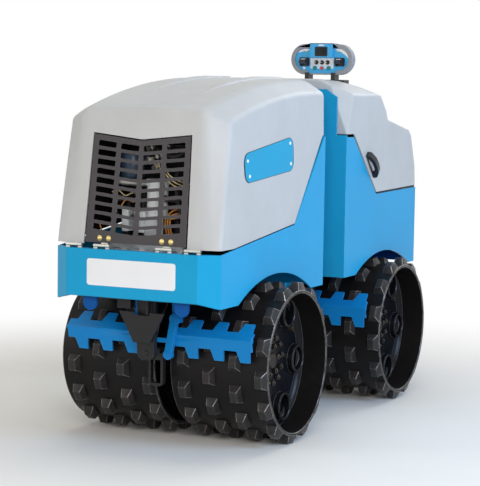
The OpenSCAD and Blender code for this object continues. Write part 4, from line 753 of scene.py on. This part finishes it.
blue = (0.016, 0.345, 0.62)
mats = {
    "blue": painted("blue_paint", blue, 0.30, 0.0, 0.15, shine=0.08),
    # Same blue with strong bright edges: a painted glint along the rear sheet's edges, broken up in patches like
    # worn paint
    "blue_rear_glint": painted("blue_paint_rear_glint", blue, 0.30, 0.0, 0.6, shine=0.08),
    # Darker blue than the body's paint: painted shade on the decks under the body
    "deep": painted("deck_paint_shaded", (0.004, 0.085, 0.32), 0.36, 0.0, 0.1, shine=0.12),
    "scraper": painted("scraper_paint", (0.006, 0.22, 0.56), 0.30, 0.04, 0.3, shine=0.16),
    "plate": painted("plate_paint", (0.014, 0.345, 0.56), 0.40, 0.0, shine=0.10),
    "decal": painted("decal_white", (0.84, 0.84, 0.86), 0.40, 0.0),
    "lining": moulded("hood_lining", (0.012, 0.012, 0.013), 0.6),
    "hood": moulded("hood_gelcoat", (0.52, 0.52, 0.515), 0.48),
    "drum": cast("drum_cast", (0.0085, 0.0078, 0.0078), (0.46, 0.43, 0.40), 0.34, 0.95),
    # Lighter than the drum's cast, with brighter edges: worn metal, and a painted sheen and glint on the pads
    "pad": cast("pad_cast_wear_and_sheen", (0.028, 0.027, 0.027), (0.60, 0.57, 0.54), 0.30, 1.0, 0.0055, 0.0003),
    "web": cast("web_cast", (0.0060, 0.0070, 0.0095), rough=0.22, wear_and_glint=0.45, depth=0.0002),
    "bronze": cast("bolt_dark", (0.018, 0.015, 0.013), (0.34, 0.28, 0.22), 0.3, 0.9, 0.002, 0.0002),
    "dark": painted("dark_paint", (0.014, 0.013, 0.0135), 0.36, 0.0, 0.6, 0.0001),
    "grille": painted("grille_paint", (0.058, 0.051, 0.054), 0.46, 0.0, 0.3, 0.00005),
    "steel": metal("bright_steel", (0.62, 0.63, 0.64), 0.28),
    "zinc": metal("zinc_plate", (0.66, 0.65, 0.60), 0.34),
    "brass": metal("yellow_zinc", (0.80, 0.62, 0.24), 0.30),
    "rubber": rubbery("black_rubber"),
    "hose": rubbery("hose_cover", (0.012, 0.012, 0.013)),
    "engine": cast("engine_casting", (0.10, 0.105, 0.11), (0.5, 0.5, 0.5), 0.5, 0.4),
    "radiator": painted("radiator_paint", (0.02, 0.02, 0.022), 0.5, 0.0),
    "plastic": moulded("black_plastic", (0.010, 0.010, 0.013), 0.42, 1200.0),
    "exhaust": metal("exhaust_steel", (0.40, 0.31, 0.24), 0.45),
    "valve": metal("valve_alloy", (0.62, 0.63, 0.64), 0.36),
    "white": painted("canister_paint", (0.90, 0.92, 0.93), 0.3, 0.2),
    "tank": painted("tank_paint", (0.04, 0.042, 0.045), 0.4, 0.1),
    "face": moulded("control_face", (0.045, 0.40, 0.74), 0.36, 700.0),
    "label": moulded("control_label", (0.70, 0.75, 0.80), 0.4, 700.0),
    "rim": moulded("control_rim", (0.27, 0.28, 0.30), 0.55, 500.0, 0.0002),
    "glass": glassy("control_glass"),
    "stick": moulded("control_stick", (0.010, 0.012, 0.022), 0.30),
    "green": moulded("green_cap", (0.006, 0.22, 0.16), 0.30),
    "red": moulded("red_cap", (0.70, 0.05, 0.03), 0.30),
    "orange": rubbery("orange_wire", (0.75, 0.27, 0.05)),
    "yellow": rubbery("yellow_wire", (0.72, 0.56, 0.28)),
    "skyhose": moulded("blue_grey_pipe", (0.05, 0.085, 0.14), 0.3),
}
slots = {s["node"]: s["material_slot"] for s in frame["record"]["subparts"]}
hood_step = 0.006


# Stage: floor, lamps, world and camera

lamp_aim = Vector((0, 0, 0.7))


def stage():
    """Camera, floor, lamps and world."""
    camera = bpy.data.cameras.new("camera")
    camera.lens = CAMERA_LENS
    camera.sensor_width = CAMERA_SENSOR
    camera.clip_end = 100
    holder = linked("camera", camera)
    holder.matrix_world = (
        Matrix.Translation(CAMERA_AT) @ Matrix.Rotation(CAMERA_YAW, 4, "Z")
        @ Matrix.Rotation(math.pi / 2 + CAMERA_PITCH, 4, "X") @ Matrix.Rotation(CAMERA_ROLL, 4, "Z")
    )
    bpy.context.scene.camera = holder

    floor_mesh = bpy.data.meshes.new("floor")
    corners = [(x * floor_half, y * floor_half, 0) for x, y in ((-1, -1), (1, -1), (1, 1), (-1, 1))]
    floor_mesh.from_pydata(corners, [], [(0, 1, 2, 3)])
    floor_mesh.materials.append(floor_material())
    floor = linked("floor", floor_mesh)
    floor.location.z = cad_box[0][2] - floor_drop

    lamp("side", (5.0, -0.6, 2.6), 2.4, 150, (0.43, 0.66, 1.0))
    lamp("front", (2.5, -5.0, 2.4), 2.4, 116, (1.0, 0.99, 0.98))
    lamp("fill", (-4.0, -4.2, 2.4), 3.0, 45, (1.0, 0.98, 0.95))
    lamp("back", (1.0, 4.6, 3.6), 2.6, 60)
    lamp("top", (0.0, -0.2, 5.2), 2.6, 44, (1.0, 1.0, 0.88))

    t = Tree("world", "worlds")
    t.finish(Color=(0.92, 0.93, 0.94, 1), Strength=0.34)
    bpy.context.scene.world = t.cover(t.seen_directly(), t.add("ShaderNodeBackground", Color=(1, 1, 1, 1)))
    bpy.context.scene.view_settings.view_transform = "Standard"


def floor_material():
    """Pale floor that takes the shadow near the object and runs out to white."""
    t = Tree("floor")
    pale = t.mix(t.patches(0.3, 0.7, 2.0), (0.90, 0.87, 0.82), (0.93, 0.90, 0.85))
    t.finish(pale, 0.7, Specular_IOR_Level=0.2)
    length = t.add("ShaderNodeVectorMath", operation="LENGTH")
    t.link(t.place, length.inputs[0])
    far = t.ramp(t.math("MULTIPLY", length.outputs["Value"], 1 / floor_white_r), 0.35, 1.0, smooth=True)
    return t.cover(t.math("MULTIPLY", far, t.seen_directly()), t.add("ShaderNodeEmission"))


def lamp(name, at, size, power, colour=(1, 1, 1)):
    """A round lamp that points at the middle of the machine."""
    light = bpy.data.lights.new(name, "AREA")
    light.shape = "DISK"
    light.size = size
    light.energy = power
    light.color = colour
    holder = linked(name, light)
    holder.location = at
    holder.rotation_euler = (lamp_aim - Vector(at)).to_track_quat("-Z", "Y").to_euler()


# Drums

rim_steps = 144
hole_steps = 48
web_x = drum_out_x - 0.114
web_t = 0.012
web_phase = -5
web_ring_r = 0.203
web_hole_r = 0.044
collar_r = web_hole_r + 0.010
weld = 0.020
hub_deep = web_t + 0.066
hub_r = 0.128
# Bolts on the hub as (ring radius, count), and the ribbed plug beside them
hub_rings = ((0.087, 12), (0.054, 6))
hub_phase = 8
plug_ring_r = 0.198
plug_phase = 32
plug_rib = 0.0055
bolt_head = [(0, -0.001), (0.0095, -0.001), (0.0110, 0.001), (0.0110, 0.010), (0.0098, 0.011), (0, 0.011)]
bolt_end = [(0, 0.011), (0.0055, 0.011), (0.0055, 0.015), (0.0045, 0.016), (0, 0.016)]
hub_cap = [(0, -0.001), (0.031, -0.001), (0.031, 0.007), (0.027, 0.012), (0, 0.012)]
shell_r = 0.270
shell_in_r = 0.258
shell_edge = 0.002
# Half the pad's size along X and along the shell, at its sunken foot and at its top
pad_foot = (0.0253, 0.038)
pad_top = (0.014, 0.021)
pad_sunk = 0.009
pad_h = 0.028
pad_edge = 0.0026
pad_rings = [drum_in_x + 0.055 + k * 0.10367 for k in range(4)]
pad_count = 14
pad_lead = 0.25


def pad_template():
    """One pad with worn edges, standing on the drum's shell along Z."""
    bm = bmesh.new()
    high = shell_r + pad_h
    corners = ((-1, -1), (1, -1), (1, 1), (-1, 1))
    loft(bm, [[(u * half[0], v * half[1], z) for u, v in corners]
              for half, z in ((pad_foot, shell_r - pad_sunk), (pad_top, high))])
    sharp = [e for e in bm.edges if max(v.co.z for v in e.verts) > high - 1e-6]
    bmesh.ops.bevel(bm, geom=sharp, offset=pad_edge, segments=2, profile=0.5, affect="EDGES")
    return to_mesh(bm, "pad")


def drum(name, y, side, pad_mesh):
    """Shell, pads, web and bolts of one drum, built on the right and mirrored for the left."""
    body = f"drum_{name}"
    place = Matrix.Translation((0, y, axle_z)) @ Matrix.Diagonal((side, 1, 1, 1))
    shell = bmesh.new()
    add_lathe(shell, [
        (shell_in_r, drum_in_x + shell_edge), (shell_in_r + shell_edge, drum_in_x),
        (shell_r - shell_edge, drum_in_x), (shell_r, drum_in_x + shell_edge),
        (shell_r, drum_out_x - shell_edge), (shell_r - shell_edge, drum_out_x),
        (shell_in_r + shell_edge, drum_out_x), (shell_in_r, drum_out_x - shell_edge)
    ], (0, 0, 0), rim_steps, closed=True)
    pads = bmesh.new()
    for k, x in enumerate(pad_rings):
        # A right drum is counted from its inner edge, a left one from its outer edge
        at = x if side > 0 else drum_in_x + drum_out_x - x
        lead = side * (pad_lead if k % 2 == 0 else -pad_lead)
        for i in range(pad_count):
            angle = math.pi + (i + lead) * 2 * math.pi / pad_count
            add_mesh(pads, pad_mesh, Matrix.Rotation(angle, 4, "X") @ Matrix.Translation((at, 0, 0)))
    for bm, part, material, stands_for in (
        (shell, "shell", "drum", [body]), (pads, "pads", "pad", []), (drum_web(), "web", "web", []),
        (drum_hub(), "bolts", "bronze", [])
    ):
        bmesh.ops.transform(bm, matrix=place, verts=bm.verts)
        piece_from(bm, f"{body}_{part}", material, body, 35, stands_for)


def add_mesh(bm, mesh, matrix):
    """Adds a copy of a mesh, moved."""
    before = len(bm.verts)
    bm.from_mesh(mesh)
    bm.verts.ensure_lookup_table()
    bmesh.ops.transform(bm, matrix=matrix, verts=bm.verts[before:])


def holed_face(bm, x, outer_r, centres, hole_r):
    """A flat round face across X with round holes."""
    edges = []
    for r, count, (y, z) in [(outer_r, rim_steps, (0, 0))] + [(hole_r, hole_steps, c) for c in centres]:
        ring = [bm.verts.new((x, y + u, z + v)) for u, v in circle(r, count)]
        edges += [bm.edges.new((v, w)) for v, w in zip(ring, ring[1:] + ring[:1])]
    bmesh.ops.triangle_fill(bm, edges=edges, use_beauty=True)


def drum_web():
    """The disc with its weld, holes and collars, and the hub behind it."""
    centres = circle(web_ring_r, 6, web_phase)
    inner, rim = shell_in_r - weld * 1.2, shell_in_r + 0.001
    bm = bmesh.new()
    add_lathe(bm, [
        (rim, -web_t), (rim, weld), (shell_in_r - 0.001, weld), (shell_in_r - weld * 0.30, weld * 0.62),
        (shell_in_r - weld * 0.66, weld * 0.26), (inner, 0)
    ], (web_x, 0, 0), rim_steps)
    holed_face(bm, web_x, inner, centres, collar_r - 0.0005)
    holed_face(bm, web_x - web_t, rim, centres, collar_r - 0.0005)
    for y, z in centres:
        add_lathe(bm, [
            (web_hole_r, -web_t - 0.001), (collar_r, -web_t - 0.001), (collar_r, 0.021),
            (collar_r - 0.003, 0.025), (web_hole_r + 0.003, 0.025), (web_hole_r, 0.022)
        ], (web_x, y, z), hole_steps, closed=True)
    add_lathe(bm, [(0, -hub_deep), (hub_r - 0.002, -hub_deep), (hub_r, 0.002 - hub_deep), (hub_r, -web_t)],
              (web_x, 0, 0), 96)
    return bm


def drum_hub():
    """Hub bolts, nuts, the cap and the ribbed plug."""
    bm = bmesh.new()
    for r, count in hub_rings:
        for y, z in circle(r, count, hub_phase):
            add_lathe(bm, bolt_head, (web_x, y, z), 6)
            add_lathe(bm, bolt_end, (web_x, y, z), 12)
    add_lathe(bm, hub_cap, (web_x, 0, 0), 48)
    ribs = [(r, plug_rib * k + h) for k in range(4)
            for r, h in ((0.011, 0), (0.014, 0.001), (0.014, 0.0035), (0.011, 0.0045))]
    add_lathe(bm, [(0, -0.001), *ribs, (0, plug_rib * 4)], (web_x, *circle(plug_ring_r, 1, plug_phase)[0]), 24)
    return bm


def drums():
    pad_mesh = pad_template()
    for name, y, side in (("front_right", front_axle_y, 1), ("front_left", front_axle_y, -1),
                          ("rear_right", rear_axle_y, 1), ("rear_left", rear_axle_y, -1)):
        drum(name, y, side, pad_mesh)


# Carried-over parts with rounded edges

def carried():
    """The pieces that keep the CAD's form, the body's sheets joined into one each."""
    for name, body, material, width, nodes in (
        ("front_body_sheet", "front_frame", "blue", 0.0022,
         ["front_bumper", "front_side_right", "front_side_left"]),
        # The rear sheet's bright edges are a painted glint
        ("rear_body_sheet", "rear_frame", "blue_rear_glint", 0.0030,
         ["rear_side_right", "rear_side_left", "rear_bulkhead"])
    ):
        bevelled(piece_from(united(nodes), name, material, body, 40, nodes), width, 3, 20, 50)
    for ending, edge, table in (
        # The decks take the darker blue, which is painted shade
        ("sheet", (0.0012,), {"deep": "rear_deck front_deck", "blue": "front_bulkhead lifting_eye"}),
        ("bars", (0.0020, 2, 35, 22), {"scraper": "front_scrapers rear_scrapers"}),
        ("casting", (0.002,), {"dark": "front_leg rear_leg tow_loop steering_yoke steering_barrel "
                                       "front_travel_motors rear_travel_motors"}),
        ("plate", (0.0005, 1), {"grille": "grille"}),
        ("casting", (0.002,), {"engine": "engine hydraulic_pump"}),
        ("body", (0.0006,), {
            "rubber": "front_buffers rear_buffers", "zinc": "front_hinge_pins front_hood_hinges rear_hinge_pins",
            "steel": "front_exciter_shaft rear_exciter_shaft steering_pin steering_rod", "radiator": "radiator",
            "plastic": "air_filter cooling_fan fuel_tank battery remote_cradle", "exhaust": "exhaust_silencer",
            "valve": "valve_block", "white": "filter_canister", "hose": "hydraulic_hoses", "tank": "oil_tank"
        })
    ):
        for material, nodes in table.items():
            for node in nodes.split():
                dress(node, ending, material, *edge)


# Name plates and the plate on the bumper

plate_corners = ((-0.760, 1.073), (-0.744, 0.970), (-0.336, 1.003), (-0.342, 1.127))
plate_round = 0.034
plate_t = 0.0025
screw_in = (0.026, 0.024)
screw = [(0.0066, -0.0005), (0.0066, 0.0006), (0.0050, 0.0024), (0.0026, 0.0031), (0, 0.0032)]


def hood_side_x(z):
    """Outer face of the front hood's side at a height."""
    return half_w - max(z - hood_side_z, 0) * hood_side_in / (hood_top - hood_side_z)


def grown(points, by):
    """An outline with every corner moved away from its middle."""
    middle = sum((Vector(p) for p in points), Vector((0, 0))) / len(points)
    return [tuple(Vector(p) + (Vector(p) - middle).normalized() * by) for p in points]


def round_outline(points, r, steps=6):
    """An outline with its corners rounded."""
    out = []
    points = [Vector(p) for p in points]
    for a, p, b in zip(points[-1:] + points[:-1], points, points[1:] + points[:1]):
        u, v = (a - p).normalized(), (b - p).normalized()
        half = math.acos(max(min(u.dot(v), 1), -1)) / 2
        centre = p + (u + v).normalized() * (r / math.sin(half))
        start = p + u * (r / math.tan(half)) - centre
        end = p + v * (r / math.tan(half)) - centre
        whole = math.pi - 2 * half
        for k in range(steps + 1):
            t = k / steps
            out.append(tuple(centre + (start * math.sin((1 - t) * whole) + end * math.sin(t * whole))
                             / math.sin(whole)))
    return out


def add_side_plate(bm, outline, low, high, side):
    """A plate on the hood's side, from its outline in (y, z)."""
    loft(bm, [[(side * (hood_side_x(z) + level), y, z) for y, z in outline] for level in (low, high)])


def name_plates():
    """Blue plates on both sides of the front hood, with four light screws each, and a black sheet under each
    plate as a painted shadow.
    """
    middle = sum((Vector(p) for p in plate_corners), Vector((0, 0))) / 4
    for name, side in sides_by_name:
        bm = bmesh.new()
        add_side_plate(bm, round_outline(plate_corners, plate_round), 0.0003, plate_t, side)
        bevelled(piece_from(bm, f"name_plate_{name}", "plate", "front_hood"), 0.0008)
        # A black sheet a little larger than the plate, under it: a painted shadow round the plate's edge
        bm = bmesh.new()
        plate_shadow_outline = round_outline(grown(plate_corners, 0.007), plate_round + 0.004)
        add_side_plate(bm, plate_shadow_outline, 0.0001, plate_t * 0.4, side)
        piece_from(bm, f"name_plate_{name}_painted_shadow", "plastic", "front_hood")
        bm = bmesh.new()
        for y, z in plate_corners:
            y += math.copysign(screw_in[0], middle.x - y)
            z += math.copysign(screw_in[1], middle.y - z)
            add_lathe(bm, screw, (side * (hood_side_x(z) + plate_t), y, z), 20, (side, 0, 0))
        piece_from(bm, f"name_plate_{name}_screws", "decal", "front_hood", 60)


bumper_plate_z = 0.6485
bumper_plate_size = (0.356, 0.095, 0.010)
fold_half = 0.025
fold_z = (0.548, 0.630)


def bumper_plate():
    """White plate on the front of the bumper, and the folds at the foot of the rear wall."""
    bm = bmesh.new()
    place = Matrix.Translation((0, front_y - 0.0002, bumper_plate_z)) @ Matrix.Rotation(math.pi / 2, 4, "X")
    add_prism(bm, round_rect(*bumper_plate_size), 0, 0.0005, place)
    piece_from(bm, "bumper_plate", "decal", "front_frame")
    bm = bmesh.new()
    for side in (-1, 1):
        x = side * (half_w - fold_half)
        add_box(bm, (x - fold_half, rear_end_y - 0.0014, fold_z[0]),
                (x + fold_half, rear_end_y + 0.002, fold_z[1]))
    bevelled(piece_from(bm, "rear_fold", "blue", "rear_frame"), 0.0008)


# Pull handles

grip_mid = Vector((0, rear_end_y + 0.263, 0.994))
grip_turn = math.radians(43)
grip_half = 0.0125
grip_outline = (
    (-0.064, -0.001), (-0.064, 0.012), (-0.060, 0.020), (-0.032, 0.0325), (0.0, 0.0355), (0.032, 0.0325),
    (0.060, 0.020), (0.064, 0.012), (0.064, -0.001), (0.046, -0.001), (0.042, 0.0090), (0.024, 0.0175),
    (0.0, 0.0200), (-0.024, 0.0175), (-0.042, 0.0090), (-0.046, -0.001)
)


def grips():
    """A bowed grip on each side of the rear hood, and the hood's hinge leaves."""
    hinges = node_mesh("rear_handles")
    away = [f for f in hinges.faces if abs(f.calc_center_median().x) > half_w - 0.02]
    bmesh.ops.delete(hinges, geom=away, context="FACES")
    leaves = piece_from(hinges, "rear_hood_leaves", "zinc", "rear_hood",
                        replaces=["rear_handles"])
    bevelled(leaves, 0.0006)
    along = Vector((0, -math.sin(grip_turn), math.cos(grip_turn)))
    for name, side in sides_by_name:
        out = Vector((side, 0, 0))
        place = axes_at((side * half_w, grip_mid.y, grip_mid.z), along, out, along.cross(out))
        bm = bmesh.new()
        add_prism(bm, grip_outline, -grip_half, grip_half, place)
        add_prism(bm, round_rect(0.126, 0.005, 0.001, cy=0.0015), -0.0115, -0.0045, place)
        grip = piece_from(bm, f"grip_{name}", "plastic", "rear_hood", 50)
        bevelled(grip, 0.0030, 3, 25, 60)


def islands(bm):
    """The separate solids of a mesh, as lists of verts."""
    left, out = set(bm.verts), []
    while left:
        stack, found = [left.pop()], []
        while stack:
            vert = stack.pop()
            found.append(vert)
            for edge in vert.link_edges:
                other = edge.other_vert(vert)
                if other in left:
                    left.remove(other)
                    stack.append(other)
        out.append(found)
    return out


bolt_dome = [
    (0.0095, -0.0025), (0.0095, -0.0012), (0.0080, -0.0008), (0.0078, 0.0006), (0.0062, 0.0026),
    (0.0035, 0.0036), (0, 0.0038)
]


def fittings():
    """The grille's bolts, domed, and the leaves of its hinges."""
    source = node_mesh("grille_fittings")
    bolts, centres = [], []
    for verts in islands(source):
        size = [max(v.co[k] for v in verts) - min(v.co[k] for v in verts) for k in range(3)]
        if max(size) < 0.022:
            bolts += verts
            centres.append(sum((v.co for v in verts), Vector()) / len(verts))
    bmesh.ops.delete(source, geom=bolts, context="VERTS")
    leaves = piece_from(source, "grille_leaves", "zinc", "grille", replaces=["grille_fittings"])
    bevelled(leaves, 0.0006)
    bm = bmesh.new()
    axis = Vector((0, -math.cos(hood_lean), math.sin(hood_lean)))
    for centre in centres:
        add_lathe(bm, bolt_dome, centre, 24, axis)
    piece_from(bm, "grille_bolts", "brass", "grille", 50)


bay_in = 0.105


def engine_bay():
    """Wires, unions and small parts that show through the grille."""
    body, slot = body_of("hydraulic_hoses"), slots["hydraulic_hoses"]
    y = grille_low.y + bay_in

    def wires(name, material, lines, r):
        bm = bmesh.new()
        for knots in lines:
            add_tube(bm, curve_points([(x, y + d, z) for x, d, z in knots]), r)
        piece_from(bm, name, material, body, 60)

    wires("wires_pale", "yellow", [
        [(0.020 + k * 0.014, 0.02, 1.045), (0.050 + k * 0.012, 0.0, 1.000),
         (0.085 + k * 0.014, 0.0, 0.965 + k * 0.006), (0.135 + k * 0.005, 0.03, 0.935 + k * 0.014)]
        for k in range(3)
    ] + [[(-0.165, 0.02, 0.925), (-0.130, 0.0, 0.935), (-0.105, 0.01, 0.915), (-0.085, 0.03, 0.925)]], 0.0024)
    wires("wires_orange", "orange", [
        [(0.125, 0.03, 0.878 - k * 0.016), (0.094, 0.0, 0.868 - k * 0.014), (0.066 + k * 0.009, 0.0, 0.835),
         (0.070 + k * 0.010, 0.0, 0.790), (0.060 + k * 0.02, 0.03, 0.755)] for k in range(3)
    ] + [[(-0.115, 0.0, 0.878), (-0.096, 0.0, 0.900), (-0.075, 0.02, 0.892)],
         [(-0.205, 0.0, 0.810), (-0.198, 0.0, 0.790), (-0.200, 0.02, 0.760)]], 0.0027)
    wires("hoses_black", "hose", [
        [(0.15, 0.06, 1.10), (0.09, 0.02, 1.06), (0.03, 0.02, 1.08), (-0.03, 0.06, 1.12)],
        [(0.16, 0.05, 0.92), (0.10, 0.0, 0.905), (0.02, 0.01, 0.925), (-0.05, 0.05, 0.905)],
        [(0.14, 0.05, 0.80), (0.13, 0.0, 0.86), (0.10, 0.02, 0.93), (0.08, 0.06, 1.02)],
        [(-0.17, 0.04, 0.86), (-0.12, 0.02, 0.83), (-0.05, 0.02, 0.85), (0.03, 0.05, 0.90)]
    ], 0.008)
    bm = bmesh.new()
    for x, d, z, r, length in (
        (-0.134, 0.0, 0.900, 0.012, 0.030), (-0.010, 0.0, 1.085, 0.014, 0.044),
        (0.022, 0.01, 1.060, 0.015, 0.038), (-0.015, 0.0, 1.040, 0.016, 0.034),
        (0.012, 0.0, 1.018, 0.013, 0.038), (0.060, 0.01, 1.092, 0.009, 0.030),
        (0.055, 0.0, 0.905, 0.010, 0.028), (-0.060, 0.0, 0.925, 0.011, 0.030),
        (-0.155, 0.0, 0.835, 0.010, 0.03)
    ):
        add_lathe(bm, [(0, 0), (r * 0.7, 0), (r * 0.7, length * 0.3), (r, length * 0.32), (r, length * 0.62),
                       (r * 0.62, length * 0.66), (r * 0.62, length), (0, length)],
                  (x, y + d, z), 6, (0.35, 0.8, 0.3))
    add_lathe(bm, [(0, 0), (0.010, 0), (0.010, 0.02), (0.013, 0.022), (0.013, 0.125), (0.010, 0.128),
                   (0.010, 0.16), (0, 0.16)], (-0.145, y + 0.02, 0.962), 24)
    piece_from(bm, "bay_unions", "zinc", body, 35)
    bm = bmesh.new()
    add_box(bm, (-0.114, y, 0.786), (-0.086, y + 0.05, 0.866))
    add_box(bm, (-0.064, y, 0.784), (-0.020, y + 0.05, 0.862))
    bevelled(piece_from(bm, "bay_blocks", "white", body, 35), 0.004, 3)
    bm = bmesh.new()
    add_lathe(bm, [(0, 0), (0.040, 0), (0.044, 0.006), (0.044, 0.086), (0.040, 0.092), (0, 0.092)],
              (-0.110, y + 0.075, 0.975), 40, (0, 0, 1))
    piece_from(bm, "bay_cylinder", "skyhose", body)


# Hand control

# Height of its face, and places on it from the middle: sticks at either side, toggles and screen between
face_z = 0.011
stick_x, stick_y = 0.079, -0.010
toggle_y = -0.012
toggle_pitch = 0.025
screen_y = 0.0325


def crescent(cx, start, end, deep):
    """A curved mark round a button, widest in its middle."""
    outer, inner = [], []
    for k in range(17):
        a = math.radians(start + (end - start) * k / 16)
        inset = deep * math.sin(math.pi * k / 16) ** 0.7
        outer.append((cx + 0.0440 * math.cos(a), 0.0440 * math.sin(a)))
        inner.append((cx + (0.0435 - inset) * math.cos(a), (0.0435 - inset) * math.sin(a)))
    return outer + inner[-2:0:-1]


def remote():
    """The hand control's face, the flat marks and the screen on it, and what moves on it."""
    low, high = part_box("remote_rim")
    middle = Vector(((low.x + high.x) / 2, (low.y + high.y) / 2, low.z + 0.063))
    place = Matrix.Translation(middle) @ Matrix.Rotation(math.pi / 2, 4, "X")
    body, slot = body_of("remote_body"), slots["remote_body"]
    face = piece_from(node_mesh("remote_body"), "remote_face", "face", body, replaces=["remote_body"])
    bevelled(face, 0.0009)
    face.data.materials.append(mats["stick"])
    back = place.inverted()
    for polygon in face.data.polygons:
        at = back @ polygon.center
        in_well = abs(abs(at.x) - stick_x) < 0.022 and abs(at.y - stick_y) < 0.021
        on_bushes = abs(at.x) < 0.034 and abs(at.y - toggle_y) < 0.0085
        if at.z > face_z + 0.0004 and (in_well or on_bushes):
            polygon.material_index = 1
    dress("remote_rim", "shell", "rim", 0.004, 3)
    for material, nodes in (("stick", "joystick_left joystick_right"), ("brass", "toggle_left"),
                            ("steel", "toggle_centre"), ("brass", "toggle_right"),
                            ("green", "button_left button_right"), ("red", "button_stop")):
        for node in nodes.split():
            dress(node, "cap", material, 0.0008)
    rings = [[(x + u, toggle_y + v) for u, v in circle(0.0095, 24)]
             for x in (-toggle_pitch, 0.0, toggle_pitch)]
    wells = [round_rect(0.046, 0.036, 0.008, cx=x, cy=stick_y) for x in (-stick_x, stick_x)]
    for name, material, outlines, foot, top in (
        ("label", "label", [round_rect(0.104, 0.044, 0.004, cy=-0.016)], 0, 0.0004),
        ("rings", "stick", rings, 0, 0.0009),
        ("crescents", "decal", [crescent(-0.075, 62, 142, 0.009), crescent(0.075, 4, 112, 0.012)], 0, 0.0005),
        ("tag", "decal", [round_rect(0.011, 0.010, 0.002, cx=-0.080, cy=-0.036)], 0, 0.0006),
        ("wells", "stick", wells, 0, 0.0012),
        ("bezel", "plastic", [round_rect(0.057, 0.040, 0.004, cy=screen_y)], 0.0115, 0.0124),
        ("screen", "glass", [round_rect(0.048, 0.032, 0.002, cy=screen_y)], 0.012, 0.0128),
        ("strip", "decal", [round_rect(0.024, 0.005, 0.001, cy=0.058)], 0.0118, 0.0124)
    ):
        bm = bmesh.new()
        for outline in outlines:
            add_prism(bm, outline, face_z + foot, face_z + top, place)
        piece_from(bm, f"remote_{name}", material, body)
    bm = bmesh.new()
    for x in (-0.070, 0.074):
        add_lathe(bm, [(0, 0), (0.0035, 0), (0.0035, 0.003), (0.0022, 0.006), (0, 0.0065)],
                  place @ Vector((x, 0.032, face_z)), 16, (0, -1, 0))
    piece_from(bm, "remote_studs", "brass", body)
    for name, x in (("left", -stick_x), ("right", stick_x)):
        node = f"joystick_{name}"
        bm = bmesh.new()
        for high in (0.010, -0.004):
            add_lathe(bm, [(0, 0), (0.0028, 0), (0.0028, 0.020), (0, 0.020)],
                      place @ Vector((x - 0.010, stick_y + high, face_z + 0.0145)), 16)
        piece_from(bm, f"{node}_trim", "steel", body_of(node))


stage()
front_hood()
rear_hood()
drums()
carried()
name_plates()
bumper_plate()
grips()
fittings()
engine_bay()
remote()
